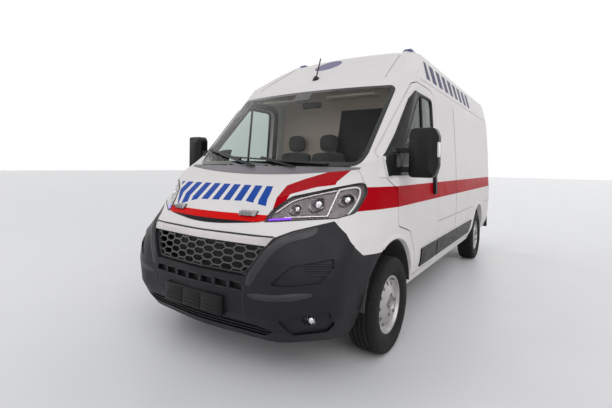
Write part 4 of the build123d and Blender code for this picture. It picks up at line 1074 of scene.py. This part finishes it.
# %% Plate carrier
PLATE_LEVELS = (0.388, 0.512)
PLATE_HALF = 0.270
PANEL_COUNT = 3
RIB_COUNT = 4
RIB_PITCH = 0.0235
carrier_points = [(-0.26, 0.45), (0, 0.51), (0.26, 0.45)]
plate_y = min(place.y for place in find_line(bumper, "front", carrier_points)) - 0.002
bm = bmesh.new()
low = (-PLATE_HALF, plate_y - 0.010, PLATE_LEVELS[0])
box_into(bm, low, (PLATE_HALF, plate_y + 0.030, PLATE_LEVELS[1]), 0.004)
panel_width = (2 * PLATE_HALF - 0.020) / PANEL_COUNT
for index in range(PANEL_COUNT):
    left = -PLATE_HALF + 0.010 + index * panel_width
    low = (left + 0.003, plate_y - 0.014, PLATE_LEVELS[0] + 0.010)
    box_into(bm, low, (left + panel_width - 0.003, plate_y - 0.008, PLATE_LEVELS[1] - 0.010), 0.002)
    for row in range(RIB_COUNT):
        z = PLATE_LEVELS[0] + 0.024 + row * RIB_PITCH
        low = (left + 0.014, plate_y - 0.0165, z)
        box_into(bm, low, (left + panel_width - 0.014, plate_y - 0.013, z + 0.005), 0.001)
finish_piece("plate_carrier", bm, black_plastic, "root")
print("plate carrier at y", round(plate_y, 4))

# %% [markdown]
# Thin dark joints part the bonnet's lip, the pale upper band and the bright bar above the grille.
# The lip's edge is where the lowest ray still meets the bonnet. A thin frame runs round the grille.

# %% Grille joints
nose = tree_of("front_bumper", "nose_panel", "grille_bar", "bonnet", "headlamp_housings")
BAR_JOINT = [(-0.557, 0.889), (0.557, 0.889)]
GRILLE_FRAME = [(-0.408, 0.662), (0.408, 0.662), (0.516, 0.832), (-0.516, 0.832)]
places = find_line(nose, "front", dense(BAR_JOINT, 0.04), 0.0)
bead("bar_joint", places, 0.0060, seal_rubber, "root")
lip = tree_of("bonnet")
places = []
for step in range(-26, 27):
    levels = [0.90 + 0.002 * index for index in range(60)]
    found = [place for place in (find(lip, "front", step * 0.02, level) for level in levels) if place]
    if found:
        places.append(found[0] + Vector((0, 0.006, -0.004)))
bead("lip_gap", places, 0.0050, seal_rubber, "root")
grille = tree_of("grille_mesh")
frame_line = rounded(dense(GRILLE_FRAME, 0.02, True), 2, True)
bead("grille_frame", find_line(grille, "front", frame_line), 0.006, gloss_black, "root", True)
print("grille frame points:", len(frame_line))

# %% [markdown]
# A fog lamp is a dark bowl with a bright bulb and a bulging clear lens, sunk in its hole.

# %% Fog lamps
FOG_PLACE = (0.790, 0.425)
FOG_DEPTH = 0.020
FOG_RADIUS = 0.0337
for name, side in SIDES:
    edge = find(bumper, "front", side * (FOG_PLACE[0] - 0.045), FOG_PLACE[1])
    inner = Vector((side * FOG_PLACE[0], edge.y + FOG_DEPTH + 0.030, FOG_PLACE[1]))
    bm = bmesh.new()
    disc_into(bm, inner + Vector((0, 0.030, 0)), FOG_RADIUS, 0.030, (0, 1, 0), 32)
    finish_piece("fog_bowl_" + name, bm, lamp_dark, "root")
    bm = bmesh.new()
    ball_into(bm, inner + Vector((0, 0.006, 0)), 0.022, 0.6)
    finish_piece("fog_bulb_" + name, bm, chrome, "root")
    bm = bmesh.new()
    ball_into(bm, inner - Vector((0, 0.006, 0)), 0.0335, 0.3)
    finish_piece("fog_lens_" + name, bm, lens_clear, "root")
print("fog lamps at x", FOG_PLACE[0], "level", FOG_PLACE[1])

# %% [markdown]
# ## Headlamps
#
# The lamp's inside starts as one solid with round bowls. Its front face is pushed back behind the
# lens with an inset, which leaves a rim round each bowl. Then come a bright ball in each bowl, a
# chrome divider, the day light strip along the lower edge, whose violet glow is a painted reflection,
# and a pale light guide near the outer end.

# %% Lamp housings
lens_tree = tree_of("headlamp_lenses")
REFLECTORS = [(0.600, 1.045, 0.028), (0.705, 1.076, 0.042), (0.850, 1.106, 0.036)]


def in_bowl(place):
    """True inside a reflector bowl."""
    return any(math.hypot(abs(place.x) - x, place.z - z) < radius + 0.002 for x, z, radius in REFLECTORS)


bm = merged("headlamp_housings")
front_faces = []
for face in bm.faces:
    _, _, _, distance = lens_tree.find_nearest(face.calc_center_median())
    if distance < 0.0045 and face.normal.y < 0.35 and not in_bowl(face.calc_center_median()):
        front_faces.append(face)
for face in bm.faces:
    face.material_index = 1 if in_bowl(face.calc_center_median()) else 0
bmesh.ops.inset_region(
    bm, faces=front_faces, thickness=0.0025, depth=-0.016, use_even_offset=False, use_boundary=True,
)
piece = finish_piece("headlamp_housings_skin", bm, lamp_dark, "root", 30)
piece.data.materials.append(lamp_chrome)
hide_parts("headlamp_housings")
print("lamp front faces:", len(front_faces))

# %% [markdown]
# The lines inside the lamp follow the lens a few millimetres behind it, found by rays from the front.

# %% Lamp internals
DAY_LINE = [(0.478, 0.986), (0.540, 0.990), (0.600, 0.995)]
GUIDE_LINE = [(0.885, 1.022), (0.905, 1.080), (0.905, 1.150), (0.895, 1.196), (0.800, 1.172)]
DIVIDER_LINE = [(0.782, 1.010), (0.792, 1.090), (0.800, 1.170)]
BROW_LINE = [(0.500, 1.030), (0.570, 1.105), (0.700, 1.146), (0.790, 1.168)]
TRAY_LINE = [(0.560, 1.002), (0.700, 1.010), (0.780, 1.014)]
LAMP_RIM = [
    (0.462, 0.970), (0.478, 1.034), (0.554, 1.113), (0.902, 1.208), (0.921, 1.150), (0.908, 1.026),
    (0.839, 1.000),
]
LAMP_LINES = [
    ("day_light_painted_reflection", DAY_LINE, 0.0060, -0.009, day_light_painted_reflection),
    ("light_guide", GUIDE_LINE, 0.0070, -0.011, lens_white),
    ("lamp_divider", DIVIDER_LINE, 0.0080, -0.012, lamp_chrome),
    ("lamp_brow", BROW_LINE, 0.0050, -0.012, lamp_chrome),
    ("lamp_tray", TRAY_LINE, 0.0060, -0.013, lamp_chrome),
]
for name, side in SIDES:
    for part, line, radius, lift, material in LAMP_LINES:
        places = find_line(lens_tree, "front", on_side(rounded(dense(line, 0.015), 2), side), lift)
        bead(part + "_" + name, places, radius, material, "root")
    rim_line = on_side(rounded(dense(LAMP_RIM, 0.012, True), 2, True), side)
    bead("lamp_rim_" + name, find_line(lens_tree, "front", rim_line, 0.0), 0.0026, seal_rubber, "root", True)
    bm = bmesh.new()
    for x, z, radius in REFLECTORS:
        found = find(lens_tree, "front", side * x, z)
        ball_into(bm, found + Vector((0, 0.030, 0)), radius * 0.62, 0.8)
    finish_piece("lamp_bulbs_" + name, bm, chrome, "root")
print("lines in each lamp:", len(LAMP_LINES))

# %% [markdown]
# ## Seats
#
# A cushion is a crowned form whose sides pull in between its corners. A cube is divided into a fine
# grid, each point is moved by how far it lies from the edges, and sewn channels are pressed in.

# %% Seats
REST_HALF = 0.118
SEAT_PLACES = [("driver", 0.165, 0.665), ("middle", -0.420, 0.020), ("outer", -0.860, -0.4203)]


def pad(name, low, high, lean=0.0, channels=0, crown=0.018):
    """A stuffed block between two corners, crowned and sewn."""
    bm = bmesh.new()
    bmesh.ops.create_cube(bm, size=1.0)
    bmesh.ops.subdivide_edges(bm, edges=bm.edges, cuts=13, use_grid_fill=True)
    size = Vector([b - a for a, b in zip(low, high)])
    middle = Vector([(a + b) / 2 for a, b in zip(low, high)])
    tuck = min(0.045, 0.22 * min(size))
    for vert in bm.verts:
        unit = vert.co * 2
        swell = [1 - abs(value) ** 2.5 for value in unit]
        place = Vector()
        for axis in range(3):
            others = [swell[other] for other in range(3) if other != axis]
            inset = tuck * (1 - min(1.0, others[0] * 2) * min(1.0, others[1] * 2))
            reach = size[axis] / 2 - crown + crown * others[0] * others[1] - inset * 0.35
            place[axis] = unit[axis] * reach
        for index in range(channels):
            seam = (index + 1) / (channels + 1) * 2 - 1
            depth = 0.009 * math.exp(-((unit.x - seam) / 0.09) ** 2)
            place.z -= depth * (1 if unit.z > 0.9 else 0)
            place.y += depth * (1 if unit.y < -0.9 and size.z > size.y else 0)
        place.y += lean * (place.z / size.z + 0.5)
        vert.co = place + middle
    bmesh.ops.smooth_vert(bm, verts=bm.verts, factor=0.5, use_axis_x=True, use_axis_y=True, use_axis_z=True)
    piece = finish_piece(name, bm, seat_cloth, "root", 70)
    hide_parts("seat_cushions")


for name, left, far in SEAT_PLACES:
    pad("seat_cushion_" + name, (left, y_at(1.562), 0.762), (far, y_at(1.988), 0.888), channels=2)
    pad("seat_back_" + name, (left, y_at(1.992), 0.764), (far, y_at(2.100), 1.478), lean=0.035, channels=2)
    middle = (left + far) / 2
    rest_low = (middle - REST_HALF, y_at(2.052), 1.482)
    pad("head_rest_" + name, rest_low, (middle + REST_HALF, y_at(2.138), 1.678))
print("seats:", len(SEAT_PLACES))

# %% [markdown]
# ## Flanks
#
# A raised lip runs round each wheel opening, a fold crosses the lower side panel with a dark line of
# painted shade in its crease, and the panel joints are narrow dark gaps. Each window sits in a black
# rubber frame, and the door's window has an upright bar near its middle.

# %% Wheel arch lips
FLANKS = {
    "left": tree_of("body_side_left", "door_left", "front_wings", "roof"),
    "right": tree_of("body_side_right", "door_right", "sliding_door", "front_wings", "roof"),
}
ARCHES = [("front", 0.948, 0.370, 0.440, -12, 140), ("rear", 4.398, 0.375, 0.422, -4, 184)]
LIP_PROFILE = [(-0.0015, -0.012), (-0.0015, 0.006), (-0.010, 0.009), (-0.024, 0.007), (-0.038, -0.003)]
for name, side in SIDES:
    for end, back, level, radius, first, last in ARCHES:
        line = []
        for degrees in range(first, last, 4):
            angle = math.radians(degrees)
            line.append((back + radius * math.cos(angle), level + radius * math.sin(angle)))
        strip("arch_lip_" + end + "_" + name, FLANKS[name], name, line, LIP_PROFILE, side_paint, "root")
print("wheel arch lips:", len(ARCHES) * len(SIDES))

# %% [markdown]
# Folds, panel joints, the gutter below the roof and the sliding door's rail are all beads; the dark
# bead in a fold is painted shade. The table says which flank has which.

# %% Body lines
SIDE_LINES = [
    # The fold beads are painted shade in the panel's crease.
    ("fold", [(2.13, 0.805), (3.93, 0.805)], 0.0020, seal_rubber, ("left",)),
    ("fold", [(3.42, 0.805), (3.93, 0.805)], 0.0020, seal_rubber, ("right",)),
    ("rear_fold", [(4.86, 0.805), (5.33, 0.805)], 0.0020, seal_rubber, ("left", "right")),
    ("joint", [(2.90, 0.650), (2.90, 2.020)], 0.0018, seal_rubber, ("left",)),
    ("gutter", [(1.72, 2.108), (5.30, 2.108)], 0.0065, side_paint, ("left", "right")),
    ("sliding_rail", [(3.43, 1.255), (4.72, 1.255)], 0.0090, seal_rubber, ("right",)),
]
for part, points, radius, material, names in SIDE_LINES:
    for name in names:
        places = find_line(FLANKS[name], name, dense(points, 0.05))
        bead("side_" + part + "_" + name, places, radius, material, "root")
print("body lines:", sum(len(names) for *_, names in SIDE_LINES))

# %% [markdown]
# A window rubber is a bead that closes on itself round the pane, with its corners well rounded.

# %% Window rubbers
DOOR_WINDOW = [(1.146, 1.304), (1.981, 1.304), (1.976, 1.951), (1.597, 1.951), (1.108, 1.428)]
SLIDING_WINDOW = [(2.432, 1.302), (3.168, 1.302), (3.168, 1.888), (2.432, 1.888)]
REAR_WINDOW = [(0.162, 1.302), (0.778, 1.302), (0.754, 1.888), (0.162, 1.888)]
WINDOW_BAR = [(1.630, 1.310), (1.650, 1.945)]


def window_rubber(name, node, view, corners, radius, body):
    """Rubber frame round a pane."""
    line = rounded(dense(corners, 0.02, True), 6, True)
    bead("rubber_" + name, find_line(tree_of(node), view, line, 0.001), radius, seal_rubber, body, True)


for name, side in SIDES:
    node = "door_" + name + "_glass"
    window_rubber("door_" + name, node, name, DOOR_WINDOW, 0.014, "door_" + name)
    places = find_line(tree_of(node), name, dense(WINDOW_BAR, 0.04), 0.001)
    bead("window_bar_" + name, places, 0.013, black_plastic, "door_" + name)
    rear_door = "rear_door_" + name
    window_rubber("rear_" + name, rear_door + "_glass", "rear", on_side(REAR_WINDOW, side), 0.010, rear_door)
window_rubber("sliding", "sliding_door_glass", "right", SLIDING_WINDOW, 0.012, "root")
print("window rubbers:", 2 * len(SIDES) + 1)

# %% [markdown]
# A black cover closes the corner ahead of the door's window and carries the mirror. It is a sheet
# between two lines on the door: the pillar's edge in front and the window's edge behind.

# %% Window corner covers
COVER_FRONT = [
    (0.895, 1.258), (0.914, 1.398), (0.955, 1.432), (1.109, 1.582), (1.395, 1.886), (1.500, 1.965),
]
COVER_BACK = [
    (1.140, 1.290), (1.120, 1.395), (1.112, 1.445), (1.240, 1.585), (1.540, 1.900), (1.590, 1.962),
]
for name, side in SIDES:
    body = "door_" + name
    door = tree_of(body, body + "_glass")
    sheet("corner_cover_" + name, door, name, COVER_FRONT, COVER_BACK, 0.005, black_plastic, body, 10)
print("corner covers:", len(SIDES))

# %% [markdown]
# ## Roof
#
# Two pressed ribs run up the front of the high roof and on along its top, and shallow cross ribs
# stiffen the flat part. Low strips in the same paint catch the light, and a darker line of painted
# shade marks the crease beside each front rib.

# %% Roof ribs
roof = tree_of("roof")
RIB_PATH = [(0.735, 1.52), (0.715, 1.70), (0.690, 1.90), (0.660, 2.15), (0.640, 2.60), (0.640, 5.10)]
CREASE_PATH = [(0.705, 1.49), (0.685, 1.66), (0.655, 1.86), (0.640, 2.02)]
LOW_PROFILE = [(0.026, -0.002), (0.014, 0.012), (-0.014, 0.012), (-0.026, -0.002)]
CROSS_RIBS = (2.75, 3.25, 3.75, 4.25, 4.75)
for name, side in SIDES:
    line = rounded(dense(on_side(RIB_PATH, side), 0.04), 4)
    strip("roof_rib_" + name, roof, "top", line, LOW_PROFILE, roof_paint, "root")
    # Each crease line is painted shade, a darker bead in the crease.
    crease = on_side(rounded(dense(CREASE_PATH, 0.04), 4), side)
    bead("roof_crease_shade_" + name, find_line(roof, "top", crease), 0.0045, crease_shade, "root")
for index, back in enumerate(CROSS_RIBS):
    line = dense([(-0.56, back), (0.56, back)], 0.08)
    strip("roof_cross_%d" % index, roof, "top", line, LOW_PROFILE, roof_paint, "root")
print("roof ribs:", len(SIDES) + len(CROSS_RIBS))

# %% [markdown]
# ## Mirrors and small parts
#
# Each mirror has a flat reflecting glass towards the driver and a small repeater lamp on its outer
# edge. The washer jets sit on the cowl.

# %% Mirror glass and repeaters
for name, side in SIDES:
    body = "door_" + name
    bm = bmesh.new()
    for low_z, high_z in ((1.285, 1.372), (1.390, 1.572)):
        x_low, x_high = sorted((side * 1.105, side * 1.262))
        box_into(bm, (x_low, y_at(1.092), low_z), (x_high, y_at(1.0975), high_z), 0.0015)
    finish_piece("mirror_glass_" + name, bm, mirror_glass, body)
    x_low, x_high = sorted((side * 1.272, side * 1.2885))
    high = (x_high, y_at(1.072), 1.500)
    box_piece("repeater_" + name, (x_low, y_at(1.030), 1.395), high, 0.004, lens_white, body)
print("mirrors with glass and repeater:", len(SIDES))

# %% [markdown]
# A ray from above finds the cowl's surface, and each jet is a small box half sunk in it.

# %% Washer jets
cowl = tree_of("cowl_panel")
JET_PLACES = [(-0.341, 0.690), (0.222, 0.680)]
bm = bmesh.new()
for x, back in JET_PLACES:
    found = find(cowl, "top", x, back)
    if found:
        box_into(bm, found + Vector((-0.014, -0.012, -0.004)), found + Vector((0.014, 0.012, 0.012)), 0.004)
finish_piece("washer_jets", bm, black_plastic, "root")
print("washer jets:", len(JET_PLACES))

# %% [markdown]
# ## Cab inside
#
# Through the windscreen the dashboard shows its instruments, a screen and round air vents.

# %% Dashboard fittings
dash = tree_of("dashboard")
DIAL_PLACES = (0.345, 0.485)
DASH_VENTS = [(0.78, 1.235), (0.16, 1.225), (-0.16, 1.225), (-0.78, 1.235)]
bm = bmesh.new()
for x, back in DASH_VENTS:
    found = find(dash, "top", x, back)
    disc_into(bm, found + Vector((0, 0, -0.002)), 0.040, 0.012, (0, 0.35, 1), 24)
    disc_into(bm, found + Vector((0, 0, 0.002)), 0.030, 0.014, (0, 0.35, 1), 24)
finish_piece("dash_vents", bm, gloss_black, "root")
screen_low = (-0.115, y_at(1.352), 1.015)
box_piece("dash_screen", screen_low, (0.105, y_at(1.372), 1.150), 0.006, gloss_black, "root")
bm = bmesh.new()
for x in DIAL_PLACES:
    disc_into(bm, Vector((x, y_at(1.284), 1.222)), 0.052, 0.012, (0, 1, 0.12), 32)
finish_piece("dials", bm, lens_white, "root")
print("vents:", len(DASH_VENTS), "dials:", len(DIAL_PLACES))

# %% [markdown]
# The inner mirror hangs behind the printed patch, and the sun visors lie folded under the roof.

# %% Inner mirror and sun visors
mirror_low = (-0.105, y_at(1.400), 1.868)
box_piece("inner_mirror", mirror_low, (0.105, y_at(1.425), 1.925), 0.012, black_plastic, "root")
for name, side in SIDES:
    x_low, x_high = sorted((side * 0.14, side * 0.62))
    low = (x_low, y_at(1.435), 1.958)
    box_piece("sun_visor_" + name, low, (x_high, y_at(1.590), 1.976), 0.007, headlining, "root")
print("sun visors:", len(SIDES))

# %% [markdown]
# The partition behind the seats is pale, with a dark panel behind the driver. The flashers on the
# bonnet's lip have fine upright ribs in front.

# %% Driver's panel and flasher ribs
PANEL_EDGE = [(-0.235, 1.000), (-0.170, 1.390), (-0.090, 1.950)]
PANEL_FAR = [(0.850, 1.000), (0.850, 1.390), (0.800, 1.950)]
partition = tree_of("bulkhead")
sheet("driver_panel", partition, "front", PANEL_EDGE, PANEL_FAR, 0.006, dark_panel, "root")
FLASHER = (0.138, 1.003, 1.027)
FLASHER_RIBS = 9
FLASHER_PITCH = 0.012
bm = bmesh.new()
for side in (1, -1):
    for index in range(FLASHER_RIBS):
        x = side * 0.33 + (index - FLASHER_RIBS // 2) * FLASHER_PITCH
        low = (x - 0.0012, y_at(FLASHER[0]) - 0.0015, FLASHER[1])
        box_into(bm, low, (x + 0.0012, y_at(FLASHER[0]) + 0.001, FLASHER[2]))
finish_piece("flasher_ribs", bm, black_plastic, BODY_OF["bonnet_flashers"])
print("driver's panel and", 2 * FLASHER_RIBS, "flasher ribs made")

# %% [markdown]
# ## Rear end
#
# The rear doors have a handle, hinges and a bare plate place. The tail lamps are red with a clear
# and an amber field, and a narrow stop lamp sits high up.

# %% Rear fittings
rear = tree_of(
    "rear_door_left", "rear_door_right", "rear_bumper", "tail_lamps", "body_side_left", "body_side_right",
)
hinge_white = white_paint("hinge_white")
rear_y = find(rear, "rear", 0.3, 1.0).y
REAR_BOXES = [
    ("rear_handle", (0.035, 0.080), 0.020, (1.02, 1.22), 0.008, "rear_door_left"),
    ("rear_plate_place", (-0.62, -0.09), 0.008, (0.86, 0.985), 0.003, "rear_door_right"),
]
for name, (x_low, x_high), proud, (low_level, high_level), bevel, body in REAR_BOXES:
    low = (x_low, rear_y - 0.001, low_level)
    box_piece(name, low, (x_high, rear_y + proud, high_level), bevel, black_plastic, body)
print("rear face at y", round(rear_y, 4))

# %% [markdown]
# Hinges and lamp fields repeat on both sides, at places that rays from behind find.

# %% Hinges and lamp fields
HINGE_LEVELS = (0.78, 1.30, 1.88)
TAIL_FIELDS = [("amber", 1.085, 1.165, lens_amber), ("clear", 1.395, 1.445, lens_white)]
for name, side in SIDES:
    bm = bmesh.new()
    for level in HINGE_LEVELS:
        edge = find(rear, "rear", side * 0.845, level)
        box_into(bm, edge + Vector((-0.028, -0.002, -0.045)), edge + Vector((0.028, 0.010, 0.045)), 0.004)
    finish_piece("rear_hinges_" + name, bm, hinge_white, "rear_door_" + name)
    for part, low, high, material in TAIL_FIELDS:
        found = find(rear, "rear", side * 0.960, (low + high) / 2)
        x_low, x_high = sorted((side * 0.930, side * 0.985))
        low_place = (x_low, found.y - 0.004, low)
        high_place = (x_high, found.y + 0.0015, high)
        box_piece("tail_" + part + "_" + name, low_place, high_place, 0.001, material, "root")
roof_rear = tree_of("roof", "rear_door_left", "rear_door_right")
found = find(roof_rear, "rear", 0.0, 2.455)
stop_low = (-0.14, found.y - 0.003, 2.440)
box_piece("high_stop_lamp", stop_low, (0.14, found.y + 0.012, 2.470), 0.004, lens_red, "root")
print("hinges:", len(HINGE_LEVELS) * len(SIDES), "lamp fields:", len(TAIL_FIELDS) * len(SIDES))

# %% [markdown]
# ## Floor, light and background
#
# The van stands on a wide pale floor that only catches its shadow. The sky looks white to the camera
# and in reflections, while the light that reaches the van stays at a plain level.

# %% Floor
FLOOR_HALF = 60.0
bm = bmesh.new()
bmesh.ops.create_grid(bm, x_segments=1, y_segments=1, size=FLOOR_HALF)
floor_mesh = bpy.data.meshes.new("floor")
bm.to_mesh(floor_mesh)
bm.free()
floor = bpy.data.objects.new("floor", floor_mesh)
bpy.context.scene.collection.objects.link(floor)
floor_finish = uneven(shader("floor_finish", (0.80, 0.80, 0.81), 0.45), 2.0, 0.40, 0.50)
floor_mesh.materials.append(floor_finish)
print("floor, side length", 2 * FLOOR_HALF)

# %% [markdown]
# A sun lights every place alike, and its angle sets how soft the shadow's edge is. The two area
# lamps stand near the camera and put soft highlights on the paint.

# %% Lights
SUNS = [
    ("sun_left", (3.0, -2.5, 5.0), 0.95, 60),
    ("sun_right", (-3.5, -1.0, 4.0), 0.45, 60),
    ("sun_rear", (0.5, 4.0, 3.0), 0.40, 60),
]
SOFT_LAMPS = [
    ("key", (5.5, -6.0, 4.5), 4.0, 60.0),
    ("front_fill", (-4.5, -7.0, 3.5), 4.0, 40.0),
]


def aim(lamp, place):
    """Put a lamp at a place and point it at the van."""
    lamp.location = place
    lamp.rotation_euler = (Vector((0, 0, 1.0)) - Vector(place)).to_track_quat("-Z", "Y").to_euler()
    bpy.context.scene.collection.objects.link(lamp)


for name, place, strength, width in SUNS:
    data = bpy.data.lights.new(name, "SUN")
    data.energy = strength
    data.angle = math.radians(width)
    aim(bpy.data.objects.new(name, data), place)
for name, place, size, power in SOFT_LAMPS:
    data = bpy.data.lights.new(name, "AREA")
    data.size = size
    data.energy = power
    aim(bpy.data.objects.new(name, data), place)
print("lamps:", len(SUNS) + len(SOFT_LAMPS))

# %% [markdown]
# The world has two backgrounds. Rays from the camera, from mirrors and through glass see a white one,
# and all other rays, which carry the light, see a weaker one.

# %% World
WORLD_LIGHT = 0.42
world = bpy.data.worlds.new("studio")
bpy.context.scene.world = world
world.use_nodes = True
links = world.node_tree.links
plain = world.node_tree.nodes["Background"]
plain.inputs["Color"].default_value = (0.88, 0.90, 0.94, 1)
plain.inputs["Strength"].default_value = WORLD_LIGHT
seen = world.node_tree.nodes.new("ShaderNodeBackground")
seen.inputs["Color"].default_value = (1, 1, 1, 1)
seen.inputs["Strength"].default_value = 1.0
path = world.node_tree.nodes.new("ShaderNodeLightPath")
reach = world.node_tree.nodes.new("ShaderNodeMath")
reach.operation = "MAXIMUM"
reach_more = world.node_tree.nodes.new("ShaderNodeMath")
reach_more.operation = "MAXIMUM"
links.new(path.outputs["Is Camera Ray"], reach.inputs[0])
links.new(path.outputs["Is Glossy Ray"], reach.inputs[1])
links.new(reach.outputs[0], reach_more.inputs[0])
links.new(path.outputs["Is Transmission Ray"], reach_more.inputs[1])
mix = world.node_tree.nodes.new("ShaderNodeMixShader")
links.new(reach_more.outputs[0], mix.inputs[0])
links.new(plain.outputs[0], mix.inputs[1])
links.new(seen.outputs[0], mix.inputs[2])
links.new(mix.outputs[0], world.node_tree.nodes["World Output"].inputs["Surface"])
bpy.context.scene.view_settings.view_transform = "Standard"
print("world light", WORLD_LIGHT)
